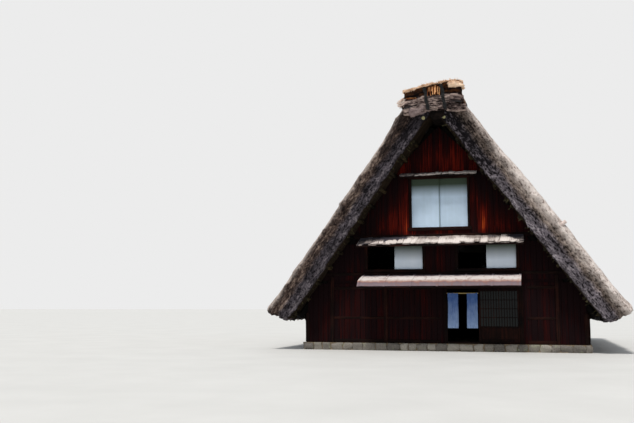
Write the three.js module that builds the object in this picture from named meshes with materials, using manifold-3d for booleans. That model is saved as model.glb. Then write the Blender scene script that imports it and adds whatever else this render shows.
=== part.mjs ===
// A thatched mountain farmhouse with a steep two-slope roof, built as its real pieces.
// Millimetres, +Z up. X runs across the gable, Y along the ridge, and the front gable faces -Y.
// The origin is on the ground, under the middle of the ridge.
import * as THREE from "three";
import { mergeVertices } from "three/addons/utils/BufferGeometryUtils.js";
import Module from "manifold-3d";

const wasm = await Module();
wasm.setup();

// Gap left between pieces that rest on each other.
const SEAT = 0.3;

// The body of the house: board walls on a raised base of stone and rammed earth.
const HALF_WIDTH = 4550;
const HALF_LENGTH = 5460;
const WALL = 100;
const BASE_TOP = 240;
const BASE_REACH = 60;

// Heights where one course of gable wall ends and the next begins.
const LOW_WINDOW_BOTTOM = 2660;
const LOW_WINDOW_TOP = 3500;
const HIGH_WINDOW_BOTTOM = 4030;
const HIGH_WINDOW_TOP = 5650;

// Boarded floors of the two upper storeys.
const SECOND_FLOOR = 2520;
const THIRD_FLOOR = 3850;
const FLOOR_BOARDS = 60;

// The roof: outer slope line z = OUTER_APEX - PITCH * |x|, thatch depth measured straight down.
const PITCH = 1.36;
const OUTER_APEX = 9200;
const THATCH_DROP = 1430;
const EAVE_INNER_X = 5000;
const EAVE_TIP_X = 5790;
const VERGE_FOOT = 650;
const VERGE_FOOT_Z = 1300;
const VERGE_LEAN = 0.08;
const VERGE_ROUND = 200;
const VERGE_ROUND_STEPS = 3;

// Timber under the thatch: rafters in pairs, and purlins let into their tops.
const RAFTER_DEPTH = 200;
const RAFTER_WIDTH = 140;
const RAFTER_FOOT_X = 4920;
const FRAME_BAYS = 8;
const PURLIN = 100;
const PURLIN_COUNT = 13;
const PURLIN_FIRST_X = 200;
const PURLIN_LAST_X = 4780;
const PURLIN_SETBACK = 120;
const PURLIN_PROUD = 3;

// The ridge cap: its section above the cut tops of the slopes, higher on the right, and how far
// it stands out over the gables.
const RIDGE_BASE = 7800;
const CAP_SECTION = [
  [1010, 0], [1055, 100], [1050, 350], [1040, 600], [870, 690], [530, 717],
  [100, 678], [-870, 450], [-1050, 380], [-1055, 100], [-1010, 0],
];
const CAP_FOOT_REACH = 1400;
const CAP_LEAN = 0.36;

// Windows: two low ones with one white panel each, and a high one closed by a pair.
const LOW_WINDOW_CENTRE = 1500;
const WINDOW_HALF = 920;
const PANEL = 30;
const PANEL_LAP = 15;
const PANEL_SETBACK = 30;

// The entrance: a doorway, and a sliding leaf that runs behind a fixed glazed screen.
const FRAME_LEFT = 100;
const DOOR_LEFT = 200;
const DOOR_RIGHT = 1200;
const SCREEN_RIGHT = 2480;
const FRAME_RIGHT = 2600;
const THRESHOLD_TOP = 300;
const HEAD_BOTTOM = 1990;
const HEAD_TOP = 2090;
const FRAME_PROUD = 15;
const SCREEN = 40;
const LEAF = 35;
const LEAF_GAP = 15;
const LEAF_CLEARANCE = 5;
const LEAF_WIDTH = 1160;
const LEAF_AT_REST = 1310;
const RUNNER = 60;

// The split curtain in the doorway, on a rod held by two brackets.
const ROD_RADIUS = 15;
const ROD_Z = 1860;
const ROD_REACH = 90;
const ROD_SIDES = 12;
const BRACKET = 30;
const CURTAIN_BOTTOM = 740;
const CURTAIN_THICKNESS = 20;
const CURTAIN_STRIPS = { left: [225, 565], right: [840, 1180] };

// Pent roofs across the gables. Top surface points are [distance out from the wall, height].
const PENTS = {
  metal: { half: 2560, top: [[0, 2450], [950, 2225], [1100, 2060]], thickness: 35, arms: 5 },
  lower: { half: 2680, top: [[0, 3700], [650, 3420]], thickness: 50, arms: 3 },
  upper: { half: 1255, top: [[0, 5830], [390, 5700]], thickness: 45, arms: 3 },
};
const ARM = 60;
const ARM_SETBACK = 90;
const ARM_BITE = 5;

const material = (color, roughness = 0.9, metalness = 0) =>
  new THREE.MeshStandardMaterial({ color, roughness, metalness });
const STONE = material(0x77736a);
const DARK_TIMBER = material(0x2b1a12);
const RED_BOARDS = material(0x552014);
const FLOOR_WOOD = material(0x5b4630);
const GREY_SHAKES = material(0xb3a89c);
const SHEET_METAL = material(0xb9a5a0, 0.55, 0.4);
const WHITE_PANEL = material(0xd5dde2, 0.6);
const GLAZING = material(0x39434a, 0.2);
const BLUE_CLOTH = material(0x4a6fa8);
const THATCH = material(0x7d7068, 1);
const RIDGE_STRAW = material(0x8a6f55, 1);
const BAMBOO = material(0x8a7a4e);

const group = new THREE.Group();

function addPiece(name, geometry, look) {
  const mesh = new THREE.Mesh(geometry, look);
  mesh.name = name;
  group.add(mesh);
}

function boxBetween([x0, y0, z0], [x1, y1, z1]) {
  const shape = new THREE.BoxGeometry(x1 - x0, y1 - y0, z1 - z0);
  return shape.translate((x0 + x1) / 2, (y0 + y1) / 2, (z0 + z1) / 2);
}

// A flat piece drawn in the X-Z plane, running from y0 to y1.
function plate(outline, y0, y1) {
  const shape = new THREE.Shape(outline.map(([x, z]) => new THREE.Vector2(x, z)));
  const made = new THREE.ExtrudeGeometry(shape, { depth: y1 - y0, bevelEnabled: false });
  return made.rotateX(Math.PI / 2).translate(0, y1, 0);
}

// A flat piece drawn in the Y-Z plane, running from x0 to x1.
function sidePlate(outline, x0, x1) {
  const shape = new THREE.Shape(outline.map(([y, z]) => new THREE.Vector2(y, z)));
  const made = new THREE.ExtrudeGeometry(shape, { depth: x1 - x0, bevelEnabled: false });
  return made.rotateX(Math.PI / 2).rotateZ(Math.PI / 2).translate(x0, 0, 0);
}

function toSolid(geometry) {
  const bare = geometry.clone();
  bare.deleteAttribute("normal");
  bare.deleteAttribute("uv");
  const merged = mergeVertices(bare, 1e-3);
  return new wasm.Manifold(
    new wasm.Mesh({
      numProp: 3,
      vertProperties: merged.attributes.position.array,
      triVerts: new Uint32Array(merged.index.array),
    }),
  );
}

function joined(shapes) {
  const mesh = shapes.map(toSolid).reduce((whole, part) => whole.add(part)).getMesh();
  const geometry = new THREE.BufferGeometry();
  geometry.setAttribute("position", new THREE.BufferAttribute(mesh.vertProperties, 3));
  geometry.setIndex(new THREE.BufferAttribute(mesh.triVerts, 1));
  return geometry;
}

// A closed skin through loops of points that all have the same count; its end loops are convex.
function loft(loops) {
  const count = loops[0].length;
  const points = loops.flat();
  const faces = [];
  for (let k = 0; k + 1 < loops.length; k++)
    for (let i = 0; i < count; i++) {
      const j = (i + 1) % count;
      const near = k * count;
      const far = near + count;
      faces.push([near + i, near + j, far + j], [near + i, far + j, far + i]);
    }
  const last = (loops.length - 1) * count;
  for (let i = 1; i + 1 < count; i++)
    faces.push([0, i + 1, i], [last, last + i, last + i + 1]);
  const corner = (n) => new THREE.Vector3(...points[n]);
  const volume = faces.reduce(
    (sum, [a, b, c]) => sum + corner(a).dot(corner(b).cross(corner(c))), 0);
  if (volume < 0) faces.forEach((face) => face.reverse());
  const geometry = new THREE.BufferGeometry();
  geometry.setAttribute("position", new THREE.Float32BufferAttribute(points.flat(), 3));
  geometry.setIndex(faces.flat());
  return geometry;
}

const sideways = (points, side) => points.map(([x, ...rest]) => [side * x, ...rest]);

// The back gable is the front one turned half round.
const turned = (geometry, end) => (end === "back" ? geometry.rotateZ(Math.PI) : geometry);

// Roof lines. SLOPE_COS turns a depth square to the slope into one straight down.
const SLOPE_COS = 1 / Math.hypot(1, PITCH);
const outerThatch = (x) => OUTER_APEX - PITCH * x;
const innerThatch = (x) => outerThatch(x) - THATCH_DROP;
const belowThatch = (x, depth) => innerThatch(x) - depth / SLOPE_COS;
const RAFTER_TOP = PURLIN_PROUD + SEAT;
const underRafter = (x) => belowThatch(x, RAFTER_TOP + RAFTER_DEPTH + SEAT);
const reachUnderRafter = (z) => (underRafter(0) - z) / PITCH;
const vergeReach = (z) => HALF_LENGTH + VERGE_FOOT + VERGE_LEAN * (z - VERGE_FOOT_Z);

// One thatch slope: its verges lean out towards the ridge and their upper edges are rounded.
function thatchSlope(side) {
  const tip = [EAVE_TIP_X, outerThatch(EAVE_TIP_X)];
  const inner = [EAVE_INNER_X, innerThatch(EAVE_INNER_X)];
  const cutRise = (tip[1] - inner[1]) / (tip[0] - inner[0]);
  const section = (shaved) => {
    const drop = shaved / SLOPE_COS;
    const tipX = tip[0] - drop / (PITCH + cutRise);
    return [
      [SEAT, RIDGE_BASE],
      [SEAT, innerThatch(SEAT)],
      inner,
      [tipX, outerThatch(tipX) - drop],
      [(OUTER_APEX - drop - RIDGE_BASE) / PITCH, RIDGE_BASE],
    ];
  };
  const loops = [];
  for (const end of [-1, 1])
    for (let k = 0; k <= VERGE_ROUND_STEPS; k++) {
      const turn = ((end < 0 ? VERGE_ROUND_STEPS - k : k) / VERGE_ROUND_STEPS) * (Math.PI / 2);
      const setback = VERGE_ROUND * (1 - Math.sin(turn));
      const loop = section(VERGE_ROUND * (1 - Math.cos(turn)));
      loops.push(loop.map(([x, z]) => [side * x, end * (vergeReach(z) - setback), z]));
    }
  return loft(loops);
}

// Rafters and purlins of one slope, as one side of the roof frame.
function roofFrame(side) {
  const inward = (depth) => [-PITCH * SLOPE_COS * depth, -SLOPE_COS * depth];
  const moved = ([x, z], [dx, dz]) => [x + dx, z + dz];
  const foot = [RAFTER_FOOT_X, belowThatch(RAFTER_FOOT_X, RAFTER_TOP)];
  const rafter = sideways([
    [SEAT, belowThatch(SEAT, RAFTER_TOP)],
    [SEAT, belowThatch(SEAT, RAFTER_TOP + RAFTER_DEPTH)],
    moved(foot, inward(RAFTER_DEPTH)),
    foot,
  ], side);
  const pieces = [];
  const endFrame = HALF_LENGTH - RAFTER_WIDTH / 2;
  for (let bay = 0; bay <= FRAME_BAYS; bay++) {
    const y = endFrame * ((2 * bay) / FRAME_BAYS - 1);
    pieces.push(plate(rafter, y - RAFTER_WIDTH / 2, y + RAFTER_WIDTH / 2));
  }
  const spacing = (PURLIN_LAST_X - PURLIN_FIRST_X) / (PURLIN_COUNT - 1);
  const downSlope = [SLOPE_COS * PURLIN, -PITCH * SLOPE_COS * PURLIN];
  for (let n = 0; n < PURLIN_COUNT; n++) {
    const x = PURLIN_FIRST_X + n * spacing;
    const top = [x, belowThatch(x, SEAT)];
    const deep = moved(top, inward(PURLIN));
    const corners = [top, deep, moved(deep, downSlope), moved(top, downSlope)];
    const reach = vergeReach(top[1]) - PURLIN_SETBACK;
    pieces.push(plate(sideways(corners, side), -reach, reach));
  }
  return joined(pieces);
}

// The bound straw cap over the ridge, its two end faces leaning out over the gables.
function ridgeCap() {
  const outline = CAP_SECTION.map(([x, up]) => [x, RIDGE_BASE + SEAT + up]);
  const reach = (z) => HALF_LENGTH + CAP_FOOT_REACH + CAP_LEAN * (z - RIDGE_BASE);
  return loft([-1, 1].map((end) => outline.map(([x, z]) => [x, end * reach(z), z])));
}

// The part of an outline that lies under both lines of rafters.
function underRoof(outline) {
  const keep = (points, room) => points.flatMap((here, n) => {
    const next = points[(n + 1) % points.length];
    const [a, b] = [room(here), room(next)];
    const crossing = here.map((value, k) => value + (next[k] - value) * (a / (a - b)));
    return [...(a >= 0 ? [here] : []), ...(a * b < 0 ? [crossing] : [])];
  });
  const right = keep(outline, ([x, z]) => underRafter(0) - PITCH * x - z);
  return keep(right, ([x, z]) => underRafter(0) + PITCH * x - z);
}

// One slab of gable wall between two heights and two sides, trimmed to the roof.
function gableSlab(x0, x1, z0, z1) {
  const [left, right] = [x0 + SEAT / 2, x1 - SEAT / 2];
  const [low, high] = [z0 + SEAT / 2, z1 - SEAT / 2];
  const outline = underRoof([[left, low], [right, low], [right, high], [left, high]]);
  return plate(outline, -HALF_LENGTH, WALL - HALF_LENGTH);
}

function addGable(end) {
  const add = (name, ...sides) => addPiece(`${end}_${name}`, turned(gableSlab(...sides), end),
    RED_BOARDS);
  const inner = LOW_WINDOW_CENTRE - WINDOW_HALF;
  const outer = LOW_WINDOW_CENTRE + WINDOW_HALF;
  const course = [LOW_WINDOW_BOTTOM, LOW_WINDOW_TOP];
  add("second_storey_left", -HALF_WIDTH, -outer, ...course);
  add("second_storey_middle", -inner, inner, ...course);
  add("second_storey_right", outer, HALF_WIDTH, ...course);
  add("wall_between_storeys", -HALF_WIDTH, HALF_WIDTH, LOW_WINDOW_TOP, HIGH_WINDOW_BOTTOM);
  add("third_storey_left", -HALF_WIDTH, -WINDOW_HALF, HIGH_WINDOW_BOTTOM, HIGH_WINDOW_TOP);
  add("third_storey_right", WINDOW_HALF, HALF_WIDTH, HIGH_WINDOW_BOTTOM, HIGH_WINDOW_TOP);
  add("gable_top", -HALF_WIDTH, HALF_WIDTH, HIGH_WINDOW_TOP, OUTER_APEX);
}

// A window panel from x0 to x1, on the front or the back track of its frame.
function panel(x0, x1, bottom, top, track) {
  const y = PANEL_SETBACK - HALF_LENGTH + track * (PANEL + LEAF_CLEARANCE);
  return boxBetween([x0, y, bottom + SEAT], [x1, y + PANEL, top - SEAT]);
}

function addPanels(end) {
  const add = (name, ...place) => addPiece(`${end}_${name}`, turned(panel(...place), end),
    WHITE_PANEL);
  const inner = LOW_WINDOW_CENTRE - WINDOW_HALF;
  const outer = LOW_WINDOW_CENTRE + WINDOW_HALF;
  const low = [LOW_WINDOW_BOTTOM, LOW_WINDOW_TOP, 0];
  const lap = PANEL_LAP;
  add("low_panel_left", -LOW_WINDOW_CENTRE - lap, -inner - SEAT, ...low);
  add("low_panel_right", LOW_WINDOW_CENTRE - lap, outer - SEAT, ...low);
  add("high_panel_left", SEAT - WINDOW_HALF, lap, HIGH_WINDOW_BOTTOM, HIGH_WINDOW_TOP, 0);
  add("high_panel_right", -lap, WINDOW_HALF - SEAT, HIGH_WINDOW_BOTTOM, HIGH_WINDOW_TOP, 1);
}

// A pent roof: a thin slab that slopes away from the wall, and the arms that carry it.
function pentRoof({ half, top, thickness, arms }) {
  const wallY = -HALF_LENGTH - SEAT;
  const surface = (drop) => top.map(([out, z]) => [wallY - out, z - drop]);
  const outline = [...surface(0), ...surface(thickness).reverse()];
  const pieces = [sidePlate(outline, -half, half)];
  const [[, z0], [out1, z1]] = top;
  const fall = (out) => z0 - thickness + ARM_BITE + ((z1 - z0) * out) / out1;
  const armEnd = out1 - ARM_SETBACK;
  const arm = [
    [wallY, fall(0)],
    [wallY - armEnd, fall(armEnd)],
    [wallY - armEnd, fall(armEnd) - ARM],
    [wallY, fall(0) - ARM - ARM_BITE],
  ];
  for (let n = 0; n < arms; n++) {
    const x = (half - ARM) * ((2 * n) / (arms - 1) - 1);
    pieces.push(sidePlate(arm, x - ARM / 2, x + ARM / 2));
  }
  return joined(pieces);
}

function addPents(end) {
  addPiece(`${end}_metal_pent_roof`, turned(pentRoof(PENTS.metal), end), SHEET_METAL);
  addPiece(`${end}_lower_shingle_roof`, turned(pentRoof(PENTS.lower), end), GREY_SHAKES);
  addPiece(`${end}_upper_shingle_roof`, turned(pentRoof(PENTS.upper), end), GREY_SHAKES);
}

// A long wall under the eaves, its top cut to the slope of the rafters.
function sideWall(side) {
  const inner = HALF_WIDTH - WALL;
  const foot = BASE_TOP + SEAT;
  const outline = [
    [inner, foot], [HALF_WIDTH, foot], [HALF_WIDTH, underRafter(HALF_WIDTH)],
    [inner, underRafter(inner)],
  ];
  const end = HALF_LENGTH - WALL - SEAT;
  return plate(sideways(outline, side), -end, end);
}

// Boards of an upper floor, between the gables and the rafters.
function floorBoards(bottom) {
  const x = reachUnderRafter(bottom + FLOOR_BOARDS);
  const y = HALF_LENGTH - WALL - SEAT;
  return boxBetween([-x, -y, bottom], [x, y, bottom + FLOOR_BOARDS]);
}

function addEntrance() {
  const front = -HALF_LENGTH - FRAME_PROUD;
  const back = WALL + FRAME_PROUD - HALF_LENGTH;
  const bar = (x0, x1, z0, z1) => boxBetween([x0, front, z0], [x1, back, z1]);
  const [low, high] = [THRESHOLD_TOP + SEAT, HEAD_BOTTOM - SEAT];
  addPiece("entrance_threshold",
    bar(FRAME_LEFT + SEAT, FRAME_RIGHT - SEAT, BASE_TOP + SEAT, THRESHOLD_TOP), DARK_TIMBER);
  addPiece("entrance_head",
    bar(FRAME_LEFT + SEAT, FRAME_RIGHT - SEAT, HEAD_BOTTOM, HEAD_TOP), DARK_TIMBER);
  addPiece("entrance_post_left", bar(FRAME_LEFT + SEAT, DOOR_LEFT, low, high), DARK_TIMBER);
  addPiece("entrance_post_right", bar(SCREEN_RIGHT, FRAME_RIGHT - SEAT, low, high), DARK_TIMBER);
  const screenBack = SCREEN - HALF_LENGTH;
  addPiece("entrance_screen", boxBetween([DOOR_RIGHT, -HALF_LENGTH, low],
    [SCREEN_RIGHT - SEAT, screenBack, high]), GLAZING);
  addPiece("sliding_door", slidingDoor(screenBack + LEAF_GAP), GLAZING);
}

// The door leaf, on two runners that ride on the threshold.
function slidingDoor(front) {
  const right = LEAF_AT_REST + LEAF_WIDTH;
  const low = THRESHOLD_TOP + LEAF_CLEARANCE;
  const leaf = boxBetween([LEAF_AT_REST, front, low],
    [right, front + LEAF, HEAD_BOTTOM - LEAF_CLEARANCE]);
  const runner = (x) => boxBetween([x, front, THRESHOLD_TOP + SEAT],
    [x + RUNNER, front + LEAF, low + SEAT]);
  return joined([leaf, runner(LEAF_AT_REST + RUNNER), runner(right - 2 * RUNNER)]);
}

function curtainRod() {
  const length = DOOR_RIGHT - DOOR_LEFT;
  const middle = (DOOR_RIGHT + DOOR_LEFT) / 2;
  const y = -HALF_LENGTH - ROD_REACH;
  const rod = new THREE.CylinderGeometry(ROD_RADIUS, ROD_RADIUS, length, ROD_SIDES)
    .rotateZ(Math.PI / 2).translate(middle, y, ROD_Z);
  const bracket = (x) => boxBetween([x, y, ROD_Z - BRACKET / 2],
    [x + BRACKET, -HALF_LENGTH - FRAME_PROUD - SEAT, ROD_Z + BRACKET / 2]);
  return joined([rod, bracket(DOOR_LEFT - BRACKET), bracket(DOOR_RIGHT)]);
}

function curtain([x0, x1]) {
  const y = -HALF_LENGTH - ROD_REACH;
  const half = CURTAIN_THICKNESS / 2;
  return boxBetween([x0, y - half, CURTAIN_BOTTOM], [x1, y + half, ROD_Z - ROD_RADIUS - SEAT]);
}

const baseX = HALF_WIDTH + BASE_REACH;
const baseY = HALF_LENGTH + BASE_REACH;
addPiece("stone_base", boxBetween([-baseX, -baseY, 0], [baseX, baseY, BASE_TOP]), STONE);
for (const [side, name] of [[-1, "left"], [1, "right"]]) {
  addPiece(`${name}_side_wall`, sideWall(side), RED_BOARDS);
  addPiece(`roof_frame_${name}`, roofFrame(side), DARK_TIMBER);
  addPiece(`thatch_${name}`, thatchSlope(side), THATCH);
}
addPiece("ridge_cap", ridgeCap(), RIDGE_STRAW);
addPiece("second_floor", floorBoards(SECOND_FLOOR), FLOOR_WOOD);
addPiece("third_floor", floorBoards(THIRD_FLOOR), FLOOR_WOOD);

const groundFoot = BASE_TOP + SEAT / 2;
const groundWall = (x0, x1, z0) => gableSlab(x0, x1, z0, LOW_WINDOW_BOTTOM);
addPiece("front_wall_left", groundWall(-HALF_WIDTH, FRAME_LEFT, groundFoot), RED_BOARDS);
addPiece("front_wall_right", groundWall(FRAME_RIGHT, HALF_WIDTH, groundFoot), RED_BOARDS);
addPiece("front_wall_over_door", groundWall(FRAME_LEFT, FRAME_RIGHT, HEAD_TOP + SEAT / 2),
  RED_BOARDS);
addPiece("back_wall", turned(groundWall(-HALF_WIDTH, HALF_WIDTH, groundFoot), "back"),
  RED_BOARDS);
for (const end of ["front", "back"]) {
  addGable(end);
  addPanels(end);
  addPents(end);
}
addEntrance();
addPiece("curtain_rod", curtainRod(), BAMBOO);
addPiece("curtain_left", curtain(CURTAIN_STRIPS.left), BLUE_CLOTH);
addPiece("curtain_right", curtain(CURTAIN_STRIPS.right), BLUE_CLOTH);

export default group;
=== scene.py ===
import functools
import math
import random

import bpy
from mathutils import Matrix, Vector, noise


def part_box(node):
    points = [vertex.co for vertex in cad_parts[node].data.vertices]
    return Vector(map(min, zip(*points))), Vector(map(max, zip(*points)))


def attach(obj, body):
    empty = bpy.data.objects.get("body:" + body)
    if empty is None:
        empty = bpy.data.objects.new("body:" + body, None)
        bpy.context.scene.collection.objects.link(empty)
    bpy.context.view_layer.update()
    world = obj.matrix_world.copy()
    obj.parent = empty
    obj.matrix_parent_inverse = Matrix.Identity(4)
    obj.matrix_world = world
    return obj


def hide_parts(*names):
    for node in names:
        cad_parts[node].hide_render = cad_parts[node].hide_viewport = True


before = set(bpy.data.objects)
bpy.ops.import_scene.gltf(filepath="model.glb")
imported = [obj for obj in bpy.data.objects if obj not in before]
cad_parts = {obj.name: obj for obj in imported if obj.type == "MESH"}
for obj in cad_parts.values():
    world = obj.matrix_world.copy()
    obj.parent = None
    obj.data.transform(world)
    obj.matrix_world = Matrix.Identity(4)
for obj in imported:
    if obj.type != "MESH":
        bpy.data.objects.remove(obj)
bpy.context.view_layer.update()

# Looks of a steep thatched farmhouse with board gables. Metres, front gable towards -Y.

bl_info = {
    "name": "Thatched Farmhouse",
    "version": (1, 0, 0),
    "blender": (4, 5, 0),
    "location": "View3D > Sidebar > Farmhouse",
    "description": "Models and finishes a steep thatched farmhouse around its packed frame",
    "category": "Object",
}

# Lines of the roof: outer surface z = APEX - PITCH * |x|, thatch depth measured straight down,
# and the verge, which stands this far past the walls at its foot and leans out as it rises.
PITCH = 1.36
APEX = 9.2
THATCH_DROP = 1.43
SLOPE = math.atan(PITCH)
EAVE_INNER_X = 5.0
EAVE_TIP_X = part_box("thatch_right")[1].x
RIDGE_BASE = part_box("thatch_right")[1].z
VERGE_FOOT = 0.65
VERGE_FOOT_Z = 1.3
VERGE_LEAN = 0.08
SIDES = ((-1, "left"), (1, "right"))

# The roof frame: the undersides of its rafters measured straight down like the thatch, where
# the rafters end, and how purlins and pairs of rafters share out the room.
RAFTER_UNDER_DROP = 1.7735
RAFTER_HEAD_X = 0.16
RAFTER_FOOT_X = 4.78
FIRST_PURLIN_X = 0.3
PURLIN_GAPS = 12
FRAME_BAYS = 8

# How the thatch flares towards its eaves, from this far down the slope, and how far the outer
# half of the right slope has swollen and that of the left has sunk.
EAVE_FLARE = 0.12
FLARE_START = 1.42
SWELL = 0.02
SINK = 0.04

# The ridge cap: the lean of its ends, the heights of its courses, how far it is drawn in behind
# the fat bundles at its two ends, and the size of the mesh cells of loose bundles.
CAP_LEAN = 0.36
COURSES_FOOT = 7.62
MAT_TOP = 8.46
RIDGE_HEAD = 1.3
RIDGE_PINCH = 0.15
BUNDLE_MESH = 0.04

# The poles thrust through below the ridge, and the ropes down its face.
NEEDLE_Z = 7.16
NEEDLES_REACH = 4.2
BINDINGS_X = (-0.19, 0.35)
BINDING_FOOT_Z = 7.68
BINDING_HEAD_Z = 8.35

# The pent roofs: half their width, their height at the wall, and their fall for each metre out.
# The metal one drops so far on its way out and then turns down to a lip.
LOWER_HALF = 2.68
LOWER_TOP_Z = 3.70
LOWER_FALL = 0.28 / 0.65
UPPER_HALF = 1.26
UPPER_TOP_Z = 5.83
UPPER_FALL = 0.13 / 0.39
METAL_HALF = 2.57
METAL_TOP_Z = 2.45
METAL_LIP_Z = 2.05
METAL_OUT = 0.95
METAL_DROP = 0.225

# The gable walls: their boards' thickness, the foot of boards and posts, the tops of both on the
# ground storey, and half the walls' width.
BOARD_THICK = 0.022
BOARDS_FOOT_Z = 0.25
GROUND_BOARDS_Z = 2.2
GROUND_POSTS_Z = 2.44
WALL_HALF = 4.5

# Places read from the frame.
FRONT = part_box("front_wall_over_door")[0].y
SIDE_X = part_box("right_side_wall")[1].x
BASE_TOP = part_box("stone_base")[1].z
SILL_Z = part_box("front_low_panel_left")[0].z
LOW_HEAD_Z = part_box("front_low_panel_left")[1].z
HIGH_SILL_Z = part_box("front_high_panel_left")[0].z
HIGH_HEAD_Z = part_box("front_high_panel_left")[1].z
RIDGE_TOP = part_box("ridge_cap")[1].z
RIDGE_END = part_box("ridge_cap")[1].y
HALF_TURN = Matrix.Rotation(math.pi, 4, "Z")

# The entrance's lattices: the top of their boarded foot, and the thin rails above it.
LATTICE_FOOT_Z = 0.75
LATTICE_RAILS = 3

# The curtain: how the cloth goes round its rod.
ROD_WRAP_RADIUS = 0.0175

# The photo's viewpoint, in front of the gable and a little to its right, at eye height.
CAMERA_PLACE = (3.0, FRONT - 26.7, 1.45)
CAMERA_PITCH = 96.65
CAMERA_YAW = 15.06
CAMERA_LENS = 46.0


def outer_z(x):
    return APEX - PITCH * abs(x)


def inner_z(x):
    return outer_z(x) - THATCH_DROP


def under_rafter_z(x):
    return APEX - RAFTER_UNDER_DROP - PITCH * abs(x)


def verge_y(z):
    """How far the thatch's front end stands from the middle of the house, at a height."""
    return -FRONT + VERGE_FOOT + VERGE_LEAN * (z - VERGE_FOOT_Z)


def clamp(value):
    return min(1.0, max(0.0, value))


def sizes():
    return bpy.context.scene.farmhouse_sizes


def colours():
    return bpy.context.scene.farmhouse_colours


# Modelling helpers.

def only(*pieces):
    """Leaves edit mode and selects just these pieces, the first one active."""
    if bpy.context.object and bpy.context.object.mode != "OBJECT":
        bpy.ops.object.mode_set(mode="OBJECT")
    bpy.ops.object.select_all(action="DESELECT")
    for piece in pieces:
        piece.select_set(True)
    if pieces:
        bpy.context.view_layer.objects.active = pieces[0]


def named(name):
    """Names the primitive just added and puts its place into its mesh."""
    piece = bpy.context.object
    piece.name = name
    piece.data.name = name
    bpy.ops.object.transform_apply(location=True, rotation=True, scale=True)
    return piece


def block(name, low, high, turn=0.0):
    """A box between two corners, turned about its own middle's Y axis."""
    only()
    middle = [(a + b) / 2 for a, b in zip(low, high)]
    bpy.ops.mesh.primitive_cube_add(size=1, location=middle, rotation=(0, turn, 0))
    bpy.context.object.scale = [b - a for a, b in zip(low, high)]
    return named(name)


def pole(name, start, end, radius, sides=8, taper=1.0):
    """A round pole between two points."""
    only()
    start, end = Vector(start), Vector(end)
    bpy.ops.mesh.primitive_cone_add(vertices=sides, radius1=radius, radius2=radius * taper,
                                    depth=(end - start).length, location=(start + end) / 2)
    bpy.context.object.rotation_mode = "QUATERNION"
    bpy.context.object.rotation_quaternion = (end - start).to_track_quat("Z", "Y")
    return named(name)


def tube(name, points, radius, sides=3):
    """A round rope or rod along smooth points."""
    curve = bpy.data.curves.new(name, "CURVE")
    curve.dimensions = "3D"
    curve.bevel_depth = radius
    curve.bevel_resolution = sides
    curve.use_fill_caps = True
    line = curve.splines.new("POLY")
    line.points.add(len(points) - 1)
    for point, place in zip(line.points, points):
        point.co = (*place, 1)
    piece = bpy.data.objects.new(name, curve)
    bpy.context.scene.collection.objects.link(piece)
    only(piece)
    bpy.ops.object.convert(target="MESH")
    return bpy.context.object


def choose(piece, kind, test):
    """Opens edit mode with the faces or edges selected whose middle, and normal, pass a test."""
    only(piece)
    bpy.ops.object.mode_set(mode="EDIT")
    bpy.ops.mesh.select_mode(type=kind)
    bpy.ops.mesh.select_all(action="DESELECT")
    bpy.ops.object.mode_set(mode="OBJECT")
    mesh = piece.data
    if kind == "FACE":
        for face in mesh.polygons:
            face.select = bool(test(face.center, face.normal))
    else:
        for edge in mesh.edges:
            a, b = (mesh.vertices[v].co for v in edge.vertices)
            edge.select = bool(test((a + b) / 2, b - a))
    bpy.ops.object.mode_set(mode="EDIT")


def every(piece):
    only(piece)
    bpy.ops.object.mode_set(mode="EDIT")
    bpy.ops.mesh.select_all(action="SELECT")


def done():
    bpy.ops.object.mode_set(mode="OBJECT")


def cut(piece, point, normal, fill=True):
    """Cuts away what lies on the normal's side of a plane."""
    every(piece)
    bpy.ops.mesh.bisect(plane_co=point, plane_no=normal, use_fill=fill, clear_outer=True)
    done()


def score(piece, point, normal):
    """Adds edges where a plane crosses a piece, and takes nothing away."""
    every(piece)
    bpy.ops.mesh.bisect(plane_co=point, plane_no=normal)
    done()


def split(piece, count, test):
    """Cuts the edges that pass a test, this many times each."""
    choose(piece, "EDGE", test)
    bpy.ops.mesh.subdivide(number_cuts=count)
    done()


def bevel(piece, width, segments=1, test=None):
    """Bevels the edges that pass a test, or all of them."""
    if test:
        choose(piece, "EDGE", test)
    else:
        every(piece)
    bpy.ops.mesh.bevel(offset=width, segments=segments, affect="EDGES")
    done()


def modify(piece, kind, **settings):
    """Adds a modifier and applies it."""
    only(piece)
    modifier = piece.modifiers.new(kind.title(), kind)
    for key, value in settings.items():
        setattr(modifier, key, value)
    bpy.ops.object.modifier_apply(modifier=modifier.name)


def ruffle(piece, depth, grain, seed=0, share=None, lean=None):
    """Moves each point along its normal by smooth noise with features of the grain's size."""
    shift = Vector((seed * 7.31, seed * 3.17, seed * 5.71))
    moves = []
    for vertex in piece.data.vertices:
        place = lean @ vertex.co if lean else vertex.co
        at = Vector((place.x / grain[0], place.y / grain[1], place.z / grain[2])) + shift
        amount = depth * noise.noise(at)
        if share:
            amount *= share(vertex.co, vertex.normal)
        moves.append(vertex.normal * amount)
    for vertex, move in zip(piece.data.vertices, moves):
        vertex.co += move


def turned(axis, angle):
    return Matrix.Rotation(angle, 4, axis)


def moved(piece, matrix):
    piece.data.transform(matrix)
    return piece


def twin(piece, name, matrix=HALF_TURN):
    """A copy with its own mesh, moved by a matrix that doesn't mirror."""
    copy = piece.copy()
    copy.data = piece.data.copy()
    copy.name = name
    copy.data.name = name
    copy.data.transform(matrix)
    bpy.context.scene.collection.objects.link(copy)
    return copy


def joined(name, pieces):
    """Several pieces as one, under a name."""
    only(*pieces)
    if len(pieces) > 1:
        bpy.ops.object.join()
    bpy.context.object.name = name
    bpy.context.object.data.name = name
    return bpy.context.object


def mark(mesh, name, values):
    """Keeps one number for each point of a mesh, under a name that its material reads."""
    kept = mesh.attributes.get(name) or mesh.attributes.new(name, "FLOAT", "POINT")
    kept.data.foreach_set("value", values)


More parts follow.
